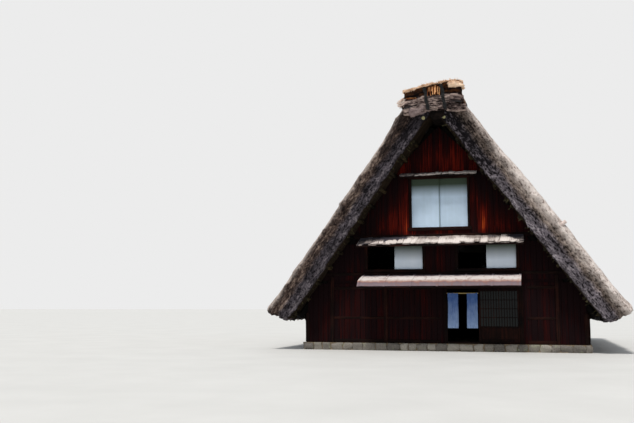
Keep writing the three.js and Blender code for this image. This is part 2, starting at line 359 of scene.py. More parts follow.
def set_tone(piece, value):
    """Gives every point of a piece one number, which its material turns into a shade."""
    mark(piece.data, "tone", [value] * len(piece.data.vertices))


def repeated(name, sources, places, seed=1):
    """Copies of the source pieces, one at each matrix, each with its own shade, as one piece."""
    chance = random.Random(seed)
    copies = []
    for place in places:
        copy = twin(chance.choice(sources), name, place)
        set_tone(copy, chance.random())
        copies.append(copy)
    for source in sources:
        bpy.data.objects.remove(source)
    return joined(name, copies)


def settle(piece, material, slot, body="house", smooth=30, replaces=()):
    """Gives a finished piece its material and its body. Its slot is not used.

    Edges that turn by less than smooth degrees are shaded round.
    """
    if "tone" not in piece.data.attributes:
        set_tone(piece, 0.5)
    if material:
        piece.data.materials.clear()
        piece.data.materials.append(material)
    only(piece)
    if smooth >= 180:
        bpy.ops.object.shade_smooth()
    else:
        bpy.ops.object.shade_smooth_by_angle(angle=math.radians(smooth))
    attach(piece, body)
    if replaces:
        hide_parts(*replaces)


def at_both_gables(piece, name, material, slot, replaced="", **options):
    """Settles a front piece and its copy on the back gable."""
    back = twin(piece, f"back_{name}")
    piece.name = f"front_{name}"
    for end, one in (("front", piece), ("back", back)):
        nodes = [f"{end}_{node}" for node in replaced.split()]
        settle(one, material, slot, replaces=nodes, **options)


# Materials.

def paint(red, green, blue):
    """A colour given as it looks on a screen, 0 to 255, as light."""
    return tuple(((c / 255 + 0.055) / 1.055) ** 2.4 if c > 10 else c / 255 / 12.92
                 for c in (red, green, blue)) + (1.0,)


def light(colour):
    """A colour as light: one of the add-on's colours, or three numbers that paint() takes."""
    return colour[:] if len(colour) == 4 else paint(*colour)


class Finish:
    """One node material, built step by step on the piece's own coordinates."""

    def __init__(self, name, roughness=0.9, **sockets):
        self.material = bpy.data.materials.new(name)
        self.material.use_nodes = True
        self.tree = self.material.node_tree
        self.shader = self.tree.nodes["Principled BSDF"]
        self.shader.inputs["Roughness"].default_value = roughness
        for name, value in sockets.items():
            self.shader.inputs[name.replace("_", " ")].default_value = value
        self.place = self.tree.nodes.new("ShaderNodeTexCoord").outputs["Object"]

    def node(self, kind, inputs=(), **settings):
        made = self.tree.nodes.new("ShaderNode" + kind)
        for key, value in settings.items():
            setattr(made, key, value)
        for key, value in dict(inputs).items():
            if isinstance(value, bpy.types.NodeSocket):
                self.tree.links.new(value, made.inputs[key])
            else:
                made.inputs[key].default_value = value
        return made

    def stretched(self, scale, turn=(0, 0, 0)):
        """The piece's coordinates, turned and then scaled, for patterns with a direction."""
        facing = self.node("Mapping", {"Vector": self.place, "Rotation": turn}).outputs[0]
        return self.node("Mapping", {"Vector": facing, "Scale": scale}).outputs[0]

    def noise(self, scale, detail=4.0, rough=0.55, where=None):
        inputs = {"Scale": scale, "Detail": detail, "Roughness": rough,
                  "Vector": where or self.place}
        return self.node("TexNoise", inputs).outputs["Fac"]

    def cells(self, scale):
        inputs = {"Scale": scale, "Vector": self.place}
        return self.node("TexVoronoi", inputs).outputs["Distance"]

    def at(self, axis):
        """One of the piece's own coordinates."""
        return self.node("SeparateXYZ", {"Vector": self.place}).outputs[axis]

    def kept(self, name):
        """The number that each point keeps under a name."""
        return self.node("Attribute", attribute_name=name).outputs["Fac"]

    def spread(self, value, low, high, new_low=0.0, new_high=1.0):
        inputs = {"Value": value, "From Min": low, "From Max": high, "To Min": new_low,
                  "To Max": new_high}
        return self.node("MapRange", inputs).outputs[0]

    def sum(self, a, b, operation="ADD"):
        return self.node("Math", {0: a, 1: b}, operation=operation).outputs[0]

    def plus(self, value, source, low, high, new_low=0.0, new_high=1.0):
        """A value with another one, spread between two amounts, added to it."""
        return self.sum(value, self.spread(source, low, high, new_low, new_high))

    def below_roof(self, apex):
        """How far a point is under a line of the roof's pitch that peaks at this height."""
        across = self.sum(self.sum(self.at("X"), 0, "ABSOLUTE"), PITCH, "MULTIPLY")
        return self.sum(apex, self.sum(across, self.at("Z")), "SUBTRACT")

    def patch(self, sides, levels, soft_x, soft_z, strength):
        """A strength inside an upright rectangle, fading away over its soft edges."""
        x, z = self.at("X"), self.at("Z")
        (left, right), (bottom, top) = sides, levels
        across = self.sum(self.spread(x, left - soft_x, left + soft_x),
                          self.spread(x, right + soft_x, right - soft_x), "MULTIPLY")
        upright = self.sum(self.spread(z, bottom - soft_z, bottom + soft_z),
                           self.spread(z, top + soft_z, top - soft_z), "MULTIPLY")
        return self.sum(self.sum(across, upright, "MULTIPLY"), strength, "MULTIPLY")

    def ramp(self, value, *stops):
        """Turns a value into colours that light() takes, each given at its position."""
        made = self.node("ValToRGB", {"Fac": value})
        elements = made.color_ramp.elements
        elements.remove(elements[1])
        elements[0].position = stops[0][0]
        elements[0].color = light(stops[0][1])
        for position, colour in stops[1:]:
            elements.new(position).color = light(colour)
        return made.outputs["Color"]

    def mix(self, share, a, b):
        """Mixes two colours, each another node's colour or one that light() takes."""
        made = self.node("Mix", {0: share}, data_type="RGBA")
        for socket, colour in ((made.inputs[6], a), (made.inputs[7], b)):
            if isinstance(colour, bpy.types.NodeSocket):
                self.tree.links.new(colour, socket)
            else:
                socket.default_value = light(colour)
        return made.outputs[2]

    def colour(self, value):
        self.tree.links.new(value, self.shader.inputs["Base Color"])

    def roughness(self, value):
        self.tree.links.new(value, self.shader.inputs["Roughness"])

    def bump(self, height, distance, strength=1.0):
        inputs = {"Height": height, "Distance": distance, "Strength": strength}
        normal = self.shader.inputs["Normal"]
        if normal.is_linked:
            inputs["Normal"] = normal.links[0].from_socket
        self.tree.links.new(self.node("Bump", inputs).outputs["Normal"], normal)


def loose_straw(name, dark, middle, pale, along="X", aside=0.0, shade=0.14, patchy=0.45):
    """Bundled straw whose stalks run along one axis; aside makes its left paler than its right.

    Shade is how much lighter or darker one layer may be than another, patchy how much the
    straw varies along a layer.
    """
    finish = Finish(name, roughness=1.0, Specular_IOR_Level=0.1)
    scale = {"X": (7, 60, 75), "Y": (75, 7, 75), "Z": (75, 75, 9)}[along]
    stalk = finish.noise(1.0, 5, 0.7, finish.stretched(scale))
    broad = finish.noise(1.0, 5, 0.65, finish.stretched((4, 4, 9)))
    value = finish.spread(stalk, 0.25, 0.75, 0.1, 0.55)
    value = finish.plus(value, broad, 0.28, 0.72, 0.22 - patchy / 2, 0.22 + patchy / 2)
    value = finish.plus(value, finish.kept("tone"), 0, 1, -shade, shade)
    value = finish.plus(value, finish.at("X"), -1, 1, aside, -aside)
    finish.colour(finish.ramp(value, (0.15, dark), (0.5, middle), (0.85, pale)))
    finish.bump(stalk, 0.02, 0.8)
    finish.bump(finish.noise(14.0, 4), 0.04, 0.5)
    return finish.material


def timber(name, dark, middle, pale, along="Z", worn=0.5):
    """Weathered wood with grain along one axis, and a shade of its own for each board."""
    finish = Finish(name, roughness=0.8, Specular_IOR_Level=0.08)
    scale = {"X": (1.2, 34, 34), "Y": (34, 1.2, 34), "Z": (34, 34, 1.2)}[along]
    grain = finish.noise(1.0, 6, 0.65, finish.stretched(scale))
    stain = finish.noise(1.6, 4, 0.6)
    value = finish.plus(finish.spread(grain, 0.25, 0.75), finish.kept("tone"), 0, 1, -worn, worn)
    value = finish.plus(value, stain, 0.3, 0.7, -0.3, 0.3)
    finish.colour(finish.ramp(value, (0.05, dark), (0.5, middle), (0.98, pale)))
    finish.bump(grain, 0.006, 0.7)
    return finish.material


@functools.cache
def thatch_finish(side):
    """Weathered reed: combed down the slope outside, cut ends at verge and eave, reeds beneath.

    The points keep how far each is a cut end and how far it lies beneath. The left slope is
    painted darker and browner, as painted shade.
    """
    finish = Finish(f"thatch_{dict(SIDES)[side]}", roughness=1.0, Specular_IOR_Level=0.1)
    # The left slope takes darker, browner colours, as painted shade.
    damp_and_shade = side < 0
    turn = (0, -side * SLOPE, 0)
    wander = finish.noise(2.6, 5, 0.7)
    depth = finish.plus(finish.below_roof(APEX), wander, 0.25, 0.75, -0.16, 0.16)
    lumps = finish.noise(1.0, 5, 0.62, finish.stretched((1.7, 3.2, 5.0), turn))
    specks = finish.noise(1.0, 5, 0.78, finish.stretched((6.5, 12, 16), turn))
    fleck = cut_reed_flecks(finish, turn, depth, lumps, specks)
    # Painted sunlight: the pale rim colour of the rounded outer edges.
    rim = finish.ramp(fleck, (0.0, (132, 112, 102)), (0.4, colours().reed_rim),
                      (0.85, (255, 246, 240)))
    ends = cut_reed_colour(finish, damp_and_shade, depth, fleck, rim)
    streak = finish.noise(1.0, 5, 0.6, finish.stretched((2.2, 45, 45), turn))
    slope = combed_reed_colour(finish, damp_and_shade, turn, streak, rim)
    beneath = finish.ramp(streak, (0.3, (14, 10, 8)), (0.5, (38, 29, 21)), (0.7, (76, 61, 42)))
    colour = finish.mix(finish.kept("cut_end"), slope, ends)
    finish.colour(finish.mix(finish.kept("underside"), colour, beneath))
    finish.bump(finish.sum(lumps, specks), 0.10, 0.9)
    finish.bump(finish.sum(finish.cells(48.0), streak), 0.03, 0.6)
    return finish.material


def cut_reed_flecks(finish, turn, depth, lumps, specks):
    """How light each fleck of cut reed is: pitted, and darker up high and along a seam."""
    fleck = finish.spread(lumps, 0.3, 0.7, -0.05, 0.42)
    fleck = finish.plus(fleck, specks, 0.32, 0.68, 0.0, 0.62)
    fleck = finish.plus(fleck, finish.at("Z"), 5.6, 7.6, 0.0, -0.22)
    pits = finish.noise(1.0, 2, 0.5, finish.stretched((11, 19, 26), turn))
    fleck = finish.plus(fleck, pits, 0.34, 0.48, -0.38, 0.02)
    seam = finish.sum(finish.sum(depth, 0.96, "SUBTRACT"), 0, "ABSOLUTE")
    return finish.plus(fleck, seam, 0.0, 0.26, -0.15, 0.0)


def cut_reed_colour(finish, damp_and_shade, depth, fleck, rim):
    """A pale rim of painted sunlight, a mottled middle and, past the seam, a grey-violet inner
    edge; the left is painted darker, as painted shade.
    """
    reed = colours().reed_left_shaded if damp_and_shade else colours().reed
    worn = (160, 140, 126) if damp_and_shade else colours().reed_light
    outer_half = finish.ramp(fleck, (0.1, colours().reed_dark), (0.5, reed), (0.95, worn))
    z = finish.at("Z")
    # The left verge's inner half is painted darker, as painted shade.
    if damp_and_shade:
        shaded, lit = (84, 78, 84), (154, 145, 148)
    else:
        shaded, lit = (126, 118, 125), (214, 205, 208)
        fleck = finish.sum(fleck, finish.sum(finish.spread(z, 4.8, 6.3, 0.0, -0.24),
                                             finish.spread(z, 6.6, 7.6, 0.0, 0.16)))
    inner_half = finish.ramp(fleck, (0.12, (20, 17, 20)), (0.5, shaded), (0.98, lit))
    ends = finish.mix(finish.spread(depth, 0.66, 0.92), outer_half, inner_half)
    # Painted sunlight on the outer edge, narrower up high and on the left.
    shrunk = finish.plus(depth, z, 6.2, 7.5, 0.0, 0.06 if damp_and_shade else 0.27)
    sunlit = finish.spread(shrunk, *((0.34, -0.08) if damp_and_shade else (0.66, 0.08)))
    return finish.mix(finish.sum(sunlit, 1.6, "POWER"), ends, rim)


def combed_reed_colour(finish, damp_and_shade, turn, streak, rim):
    """Reed combed down the slope, mossy in patches, and painted lighter towards the verges as
    painted sunlight.
    """
    patch = finish.noise(0.9, 4, 0.62, finish.stretched((1, 2.2, 2.2), turn))
    combed = finish.sum(finish.sum(streak, patch), 0.5, "MULTIPLY")
    slope = finish.ramp(combed, (0.3, (78, 66, 60)), (0.48, (146, 130, 120)),
                        (0.68, (212, 196, 184)))
    moss = finish.spread(finish.noise(1.7, 5, 0.65), 0.6, 0.74, 0.0, 0.35)
    slope = finish.mix(moss, slope, (88, 86, 58))
    # Painted sunlight on the slope towards the verges, weaker on the left.
    out = finish.sum(finish.at("Y"), 0, "ABSOLUTE")
    verge_sunlight = finish.spread(out, 4.8, 6.1, 0.0, 0.3 if damp_and_shade else 0.9)
    return finish.mix(verge_sunlight, slope, rim)


@functools.cache
def straw_mat_finish():
    """The newest straw, on top of the ridge."""
    return loose_straw("ridge_straw_mat", (142, 98, 66), colours().ridge_straw, (255, 238, 216))


@functools.cache
def ridge_course_finish():
    """Older bound straw, weathered mauve-grey, darker towards the right."""
    return loose_straw("ridge_courses", (14, 11, 11), (88, 73, 71),
                       (200, 178, 168), aside=0.08, shade=0.26, patchy=0.75)


@functools.cache
def slack_straw_finish():
    """A grey bundle that has come loose."""
    return loose_straw("slack_straw", (56, 46, 46), (126, 110, 108), (178, 160, 156))


@functools.cache
def dark_course_finish():
    """The straw between two courses, painted near-black as the shade of its recess."""
    return loose_straw("ridge_dark_course", (10, 7, 7), (34, 23, 20), (108, 66, 36))


@functools.cache
def soot_finish():
    """Reed blackened by the smoke of the hearth."""
    return loose_straw("sooty_reed", (5, 4, 4), (15, 11, 10), (40, 30, 26), along="Y")


@functools.cache
def orange_straw_finish():
    """Rotten straw that hangs down, each stalk of its own shade."""
    return loose_straw("hanging_straw", (30, 14, 8), (136, 70, 34),
                       (236, 178, 124), along="Z", shade=0.45)


@functools.cache
def mossy_straw_finish():
    """Slipped reeds under the verge, grown over with moss and painted near-black as the shade
    there.
    """
    return loose_straw("mossy_straw", (12, 10, 8), (38, 34, 22), (88, 82, 58))


@functools.cache
def ragged_straw_finish():
    """Loose pale tips of straw."""
    return loose_straw("ragged_straw", (150, 122, 104), (216, 192, 176), (250, 238, 228))


@functools.cache
def rope_finish():
    """Straw rope, darkened by rain, its strands twisted round."""
    finish = Finish("straw_rope", roughness=0.95)
    strands = finish.noise(60.0, 5)
    finish.colour(finish.ramp(strands, (0.3, (10, 12, 14)), (0.55, (26, 28, 30)),
                              (0.78, (84, 76, 66))))
    finish.bump(finish.cells(70.0), 0.008, 0.8)
    return finish.material


@functools.cache
def dark_timber_finish():
    """Posts and lattices, nearly black."""
    return timber("dark_timber_upright", (8, 4, 4), (21, 8, 6), (43, 18, 12), worn=0.15)


@functools.cache
def dark_beam_finish():
    """The same dark timber lying across."""
    return timber("dark_timber_across", (8, 4, 4), (21, 8, 6), (43, 18, 12),
                  along="X", worn=0.15)


@functools.cache
def rafter_finish():
    """Rafters and poles blackened by smoke."""
    return timber("smoked_rafters", (7, 5, 5), (20, 15, 12), (50, 39, 28), along="X")


@functools.cache
def purlin_finish():
    """Round poles that kept some of their brown."""
    return timber("purlin_poles", (12, 10, 7), (34, 28, 19), (72, 60, 40), along="Y")


@functools.cache
def cut_wood_finish():
    """Sawn pole ends, a little green, the highest ones freshly cut and pale."""
    finish = Finish("cut_pole_ends", roughness=0.9, Specular_IOR_Level=0.2)
    rings = finish.noise(26.0, 4)
    old = finish.ramp(rings, (0.35, (22, 19, 12)), (0.65, (52, 45, 28)))
    fresh = finish.ramp(rings, (0.35, (128, 124, 84)), (0.6, (184, 178, 136)))
    finish.colour(finish.mix(finish.spread(finish.at("Z"), 6.9, 7.2), old, fresh))
    finish.bump(rings, 0.004)
    return finish.material


@functools.cache
def peg_finish():
    """Bleached end grain of the pegs in the roof."""
    finish = Finish("bleached_pegs", roughness=0.95, Specular_IOR_Level=0.2)
    grain = finish.noise(22.0, 5)
    finish.colour(finish.ramp(grain, (0.3, (166, 150, 144)), (0.65, (228, 212, 204))))
    finish.bump(grain, 0.01)
    return finish.material


@functools.cache
def wall_board_finish():
    """Old stained maroon boards, painted nearly black below the lower pent roof, by the rafters,
    under the upper pent roof and up in the apex, all as painted shade.

    On the front gable a streak to the right of the high window, and redder patches low down to
    both sides of it, are lighter and more orange: partly worn by sun and rain, partly painted
    sunlight.
    """
    finish = Finish("wall_boards", roughness=0.85, Specular_IOR_Level=0.05)
    grain = finish.noise(1.0, 6, 0.65, finish.stretched((30, 30, 0.9)))
    stain = finish.noise(1.0, 4, 0.6, finish.stretched((3.4, 3.4, 0.7)))
    z = finish.at("Z")
    value = finish.spread(grain, 0.28, 0.72, 0.0, 0.5)
    value = finish.plus(value, finish.kept("tone"), 0, 1, -0.09, 0.09)
    value = finish.plus(value, stain, 0.3, 0.7, -0.12, 0.14)
    # Painted shade: darker below the lower pent roof, fading out above it.
    value = finish.plus(value, z, 3.4, 4.0, -0.27, 0.0)
    # Painted shade: darker up in the apex under the deep eaves, a little lighter below.
    value = finish.plus(value, z, 6.3, 7.2, 0.06, -0.2)
    # Painted shade along the underside of the rafters and just under the upper pent roof, only
    # below that roof's height.
    under = finish.below_roof(APEX - RAFTER_UNDER_DROP)
    roof_shade = finish.spread(under, 0.1, 0.8, -0.24, 0.0)
    roof_shade = finish.plus(roof_shade, z, 4.5, 5.3, 0.0, -0.12)
    value = finish.sum(value, finish.sum(roof_shade, finish.spread(z, 5.84, 5.74), "MULTIPLY"))
    # Lighter, more orange patches on the front gable only: partly worn wood, partly painted
    # sunlight.
    orange_streak = finish.patch((1.32, 1.50), (3.6, 4.5), 0.10, 0.4, 0.52)
    low_left = finish.patch((-2.1, -1.0), (3.9, 4.3), 0.3, 0.5, 0.17)
    low_right = finish.patch((1.9, 3.4), (3.3, 4.7), 0.2, 0.3, 0.13)
    worn = finish.sum(finish.sum(orange_streak, low_left), low_right)
    sunny = finish.spread(finish.at("Y"), 0.0, -1.0)
    value = finish.sum(value, finish.sum(worn, sunny, "MULTIPLY"))
    finish.colour(finish.ramp(value, (0.0, (20, 8, 10)), (0.3, colours().boards_dark),
                              (0.6, colours().boards), (1.0, colours().boards_worn_sunlit)))
    finish.roughness(finish.spread(grain, 0.2, 0.8, 0.7, 0.9))
    finish.bump(grain, 0.006, 0.8)
    return finish.material


@functools.cache
def floor_board_finish():
    """Boards of the upper floors, browned by smoke."""
    return timber("floor_boards", (44, 32, 22), (92, 70, 48), (134, 106, 74), along="Y")


@functools.cache
def shingle_finish():
    """Split shakes paled by the sun, each of its own shade. Painted shade darkens them by the
    wall, painted shadows of the verges fall over both ends, and the layer beneath is painted
    darker as shade in the gaps.

    The small upper roof is painted lighter, as painted sunlight, and takes its painted shadows
    from the left half of the lower one.
    """
    finish = Finish("grey_shingles", roughness=0.9, Specular_IOR_Level=0.2)
    grain = finish.noise(1.0, 5, 0.6, finish.stretched((36, 1.6, 8)))
    # Broad damp patches in the wood, lighter and darker.
    damp_and_shade = finish.noise(1.0, 4, 0.6, finish.stretched((1.1, 2, 2)))
    value = finish.spread(grain, 0.25, 0.75, 0.46, 0.80)
    # The layer beneath (tone 0) is darker, as painted shade in the gaps between the shakes.
    value = finish.plus(value, finish.kept("tone"), 0, 0.05, -0.2, 0.0)
    value = finish.plus(value, finish.kept("tone"), 0, 1, -0.08, 0.16)
    value = finish.plus(value, damp_and_shade, 0.3, 0.5, -0.06, 0.10)
    rag = finish.noise(1.0, 3, 0.6, finish.stretched((7, 1, 1)))
    x, z = finish.at("X"), finish.at("Z")
    # These two heights part the upper roof from the lower one.
    parting = (4.8, 4.9)
    # The upper roof is painted lighter, as painted sunlight, and moved onto the left half of the
    # lower roof for its painted shadows.
    value = finish.plus(value, z, *parting, 0.0, 0.14)
    x = finish.plus(x, z, *parting, 0.0, -1.3)
    z = finish.plus(z, z, *parting, 0.0, -2.22)
    z = finish.plus(z, rag, 0.3, 0.7, -0.06, 0.06)
    # Painted shade along the wall, with a ragged edge.
    value = finish.plus(value, z, 3.57, 3.66, 0.0, -0.3)
    # Painted shadows of the verges over the upper part of both ends.
    shadow_line = finish.sum(finish.spread(x, -2.6, -0.45, 0.0, 1.2),
                          finish.spread(x, 2.66, 2.0, 0.0, 1.2), "MINIMUM")
    verge_shadow = finish.sum(finish.spread(z, 3.41, 3.68), shadow_line, "SUBTRACT")
    value = finish.plus(value, verge_shadow, 0.02, 0.16, 0.0, -0.5)
    # The darkest stop is the bluish grey of the painted shade.
    finish.colour(finish.ramp(value, (0.05, (62, 59, 66)), (0.4, (142, 130, 124)),
                              (0.66, colours().shingles), (0.95, (226, 217, 211))))
    finish.bump(grain, 0.004, 0.8)
    return finish.material


@functools.cache
def sheet_metal_finish():
    """Painted sheet: pale above, rust where it bends, a mauve-brown lip, lighter scuffs, and a
    dark band of painted shade along the wall.
    """
    finish = Finish("rusty_sheet_metal", roughness=0.6, Specular_IOR_Level=0.3)
    streak = finish.noise(1.0, 5, 0.6, finish.stretched((9, 1.4, 1.4)))
    blotch = finish.noise(5.0, 5, 0.65)
    height = finish.at("Z")
    height = finish.plus(height, blotch, 0.3, 0.7, -0.03, 0.03)
    rise = finish.spread(height, METAL_LIP_Z, METAL_TOP_Z + 0.01)
    # The last two stops are painted shade: a dark band along the top, by the wall.
    banded = finish.ramp(rise, (0.0, (72, 60, 62)), (0.1, (112, 96, 102)),
                         (0.34, (104, 88, 94)), (0.41, colours().rust), (0.50, (178, 156, 146)),
                         (0.62, colours().metal), (0.84, (204, 194, 190)),
                         (0.94, (128, 117, 123)), (1.0, (80, 72, 80)))
    rusted = finish.spread(finish.sum(streak, blotch), 1.04, 1.3, 0.0, 0.7)
    finish.colour(finish.mix(rusted, banded, (124, 86, 74)))
    finish.roughness(finish.spread(streak, 0.3, 0.7, 0.45, 0.75))
    finish.bump(streak, 0.004, 0.7)
    return finish.material


@functools.cache
def white_panel_finish():
    """Pale window sheets, the low ones whiter; their blue tint is painted skylight, and the dark
    green at their tops under the pent roofs is painted shadow with a painted green reflection.
    """
    finish = Finish("white_panels", roughness=0.6, Specular_IOR_Level=0.25)
    cloud = finish.noise(1.4, 3)
    runs = finish.noise(1.0, 4, 0.5, finish.stretched((9, 9, 0.8)))
    value = finish.spread(cloud, 0.3, 0.7, 0.3, 0.7)
    value = finish.plus(value, runs, 0.3, 0.7, -0.08, 0.08)
    # The sheets' blue tint is painted skylight.
    high_sheet = finish.ramp(value, (0.1, (172, 192, 206)), (0.6, colours().panels),
                             (0.95, (204, 221, 238)))
    low_sheet = finish.ramp(value, (0.1, (208, 221, 236)), (0.9, (232, 242, 252)))
    z = finish.at("Z")
    z = finish.plus(z, cloud, 0.3, 0.7, -0.015, 0.015)
    low_sheets = finish.spread(z, LOW_HEAD_Z + 0.2, LOW_HEAD_Z + 0.1)
    low_shade = finish.sum(finish.spread(z, LOW_HEAD_Z - 0.57, LOW_HEAD_Z - 0.11, 0.0, 0.93),
                           low_sheets, "MULTIPLY")
    high_shade = finish.spread(z, HIGH_HEAD_Z - 0.60, HIGH_HEAD_Z - 0.20, 0.0, 0.97)
    # Painted shade where the two high sheets meet.
    meeting = finish.sum(finish.at("X"), 0, "ABSOLUTE")
    high_sheet = finish.mix(finish.spread(meeting, 0.028, 0.012, 0.0, 0.6), high_sheet,
                            (74, 88, 80))
    sheet = finish.mix(low_sheets, high_sheet, low_sheet)
    # Painted shadow of the pent roofs at the sheets' tops, dark green as a painted reflection.
    finish.colour(finish.mix(finish.sum(high_shade, low_shade), sheet, (42, 56, 32)))
    finish.bump(finish.noise(90.0, 3), 0.001, 0.5)
    return finish.material


@functools.cache
def glass_finish():
    """Dark old glass, painted near-black for the shade of the unlit room behind it."""
    finish = Finish("dark_glass", roughness=0.12, Specular_IOR_Level=0.2)
    film = finish.noise(3.0, 4)
    finish.colour(finish.ramp(film, (0.3, (5, 7, 7)), (0.7, (16, 21, 20))))
    finish.roughness(finish.spread(film, 0.3, 0.7, 0.08, 0.3))
    finish.bump(finish.noise(1.3, 2), 0.01, 0.2)
    return finish.material


@functools.cache
def bamboo_finish():
    """Pale bamboo with long fibres."""
    finish = Finish("bamboo", roughness=0.45)
    fibre = finish.noise(1.0, 4, 0.6, finish.stretched((3, 80, 80)))
    finish.colour(finish.ramp(fibre, (0.3, (118, 98, 54)), (0.6, (168, 148, 92))))
    finish.bump(fibre, 0.001)
    return finish.material


@functools.cache
def blue_cloth_finish():
    """Indigo cotton, faded towards the hem, its weave following the cloth."""
    finish = Finish("blue_cloth", roughness=0.9, Sheen_Weight=0.2)
    weave = finish.node("TexCoord").outputs["UV"]
    warp = finish.node("TexWave", {"Vector": weave, "Scale": 90.0, "Distortion": 0.6},
                       bands_direction="X").outputs["Fac"]
    weft = finish.node("TexWave", {"Vector": weave, "Scale": 210.0, "Distortion": 0.6},
                       bands_direction="Y").outputs["Fac"]
    thread = finish.sum(warp, weft, "MULTIPLY")
    worn = finish.spread(finish.at("Z"), 0.8, 1.7, 0.75, 0.1)
    worn = finish.plus(worn, finish.noise(5.0, 4), 0.3, 0.7, -0.15, 0.15)
    dyed = finish.ramp(worn, (0.1, colours().cloth), (0.9, colours().cloth_faded))
    finish.colour(finish.mix(finish.spread(thread, 0, 1, 0.0, 0.18), dyed, (28, 44, 84)))
    finish.bump(thread, 0.0008, 0.8)
    return finish.material


@functools.cache
def stone_finish():
    """River stones of mixed greys, each of its own shade, with lichen."""
    finish = Finish("field_stones", roughness=0.85)
    speckle = finish.noise(38.0, 5, 0.7)
    veins = finish.noise(5.0, 5, 0.6)
    value = finish.spread(speckle, 0.3, 0.7, 0.2, 0.6)
    value = finish.plus(value, finish.kept("tone"), 0, 1, -0.22, 0.3)
    rock = finish.ramp(value, (0.0, (58, 54, 52)), (0.45, (118, 112, 104)),
                       (0.9, (172, 166, 154)))
    lichen = finish.spread(veins, 0.56, 0.66, 0.0, 0.6)
    finish.colour(finish.mix(lichen, rock, (134, 138, 112)))
    finish.bump(speckle, 0.01, 0.6)
    finish.bump(veins, 0.03, 0.5)
    return finish.material


@functools.cache
def earth_finish():
    """Trodden earth, gritty and patchy."""
    finish = Finish("rammed_earth", roughness=0.95)
    grit = finish.noise(60.0, 5, 0.7)
    patch = finish.noise(2.0, 4)
    value = finish.sum(finish.sum(grit, patch), 0.5, "MULTIPLY")
    finish.colour(finish.ramp(value, (0.3, (74, 62, 48)), (0.65, (138, 120, 96))))
    finish.bump(grit, 0.01, 0.8)
    return finish.material


@functools.cache
def studio_floor_finish():
    """An even pale floor."""
    finish = Finish("pale_floor", roughness=0.7)
    finish.colour(finish.ramp(finish.noise(0.6, 3), (0.3, (198, 197, 194)),
                              (0.7, (204, 203, 200))))
    return finish.material


# The roof covering.

def thatch_slope(side):
    """One slope of thatch: a thick slab cut to the roof lines, then roughed up as reed."""
    middle_x = 3.0
    middle_z = (outer_z(middle_x) + inner_z(middle_x)) / 2
    depth = THATCH_DROP * math.cos(SLOPE)
    # Longer and wider than the slope, so that every side of the slab is a cut one.
    half_run, half_length = 8, 10
    low = (side * middle_x - half_run, -half_length, middle_z - depth / 2)
    high = (side * middle_x + half_run, half_length, middle_z + depth / 2)
    slab = block(f"thatch_slope_{dict(SIDES)[side]}", low, high, turn=side * SLOPE)
    tip = Vector((EAVE_TIP_X, 0, outer_z(EAVE_TIP_X)))
    inner = Vector((EAVE_INNER_X, 0, inner_z(EAVE_INNER_X)))
    along = tip - inner
    cut(slab, (0, 0, 0), (-side, 0, 0))
    cut(slab, (0, 0, RIDGE_BASE + 0.05), (0, 0, 1))
    cut(slab, (side * inner.x, 0, inner.z), (side * along.z, 0, -along.x))
    for end in (-1, 1):
        cut(slab, (0, end * verge_y(0), 0), (0, end, -VERGE_LEAN))

    def on_outer_edge(middle, run):
        on_top = abs(outer_z(middle.x) - middle.z) < 1e-3
        return on_top and (abs(middle.y) > 5 or middle.z < 3)

    bevel(slab, sizes().verge_round, 4, on_outer_edge)
    modify(slab, "REMESH", mode="VOXEL", voxel_size=sizes().thatch_mesh)
    flare(slab, side)
    weights(slab, side)
    roughen_thatch(slab, side)
    return slab


def kick(x, z):
    """How far the thatch flares outwards here, towards its eave."""
    down_slope = abs(x) * math.cos(SLOPE) - z * math.sin(SLOPE)
    return EAVE_FLARE * max(0.0, down_slope - FLARE_START) ** 2


def flare(slab, side):
    """Flares the eave, and swells or sinks the outer half of the slope below the ridge."""
    square = Vector((side * math.sin(SLOPE), 0, math.cos(SLOPE)))
    rise = SWELL if side > 0 else -SINK
    run = 3.5 if side > 0 else 1.0
    for vertex in slab.data.vertices:
        place = vertex.co.copy()
        vertex.co.x += side * kick(place.x, place.z)
        outer = max(0.0, 1 - (outer_z(place.x) - place.z) / 0.7)
        vertex.co += square * rise * outer * clamp((abs(place.x) - 0.9) / run)


def weights(slab, side):
    """Marks on each point how far it is a cut end, or the underside, by where it faces."""
    square = Vector((side * math.sin(SLOPE), 0, math.cos(SLOPE)))
    facing = [vertex.normal.dot(square) for vertex in slab.data.vertices]
    mark(slab.data, "cut_end", [clamp((0.93 - share) / 0.25) for share in facing])
    mark(slab.data, "underside", [clamp((-share - 0.7) / 0.2) for share in facing])


def roughen_thatch(slab, side):
    """Sags and waves over the slope, and the lumps, pits and long furrows of the cut ends."""
    ends = [point.value for point in slab.data.attributes["cut_end"].data]
    below = [point.value for point in slab.data.attributes["underside"].data]
    turn = Matrix.Rotation(-side * SLOPE, 3, "Y")
    # The size of the bumps, their depth, and how much of it the slope and a cut end show.
    layers = [((1.6, 1.1, 1.1), 0.045, 1.0, 1.0), ((0.46, 0.32, 0.30), 0.13, 0.15, 1.0),
              ((0.19, 0.14, 0.13), 0.08, 0.12, 1.0)]
    moves = []
    for vertex, end, under in zip(slab.data.vertices, ends, below):
        place = turn @ vertex.co
        amount = 0.0
        for seed, (grain, depth, on_slope, on_end) in enumerate(layers):
            at = Vector((place.x / grain[0] + seed * 9, place.y / grain[1], place.z / grain[2]))
            share = on_slope + (on_end - on_slope) * end * (1 - under)
            amount += depth * share * noise.noise(at)
        moves.append(vertex.normal * (amount + 0.015 * (1 - under)))
    for vertex, move in zip(slab.data.vertices, moves):
        vertex.co += move


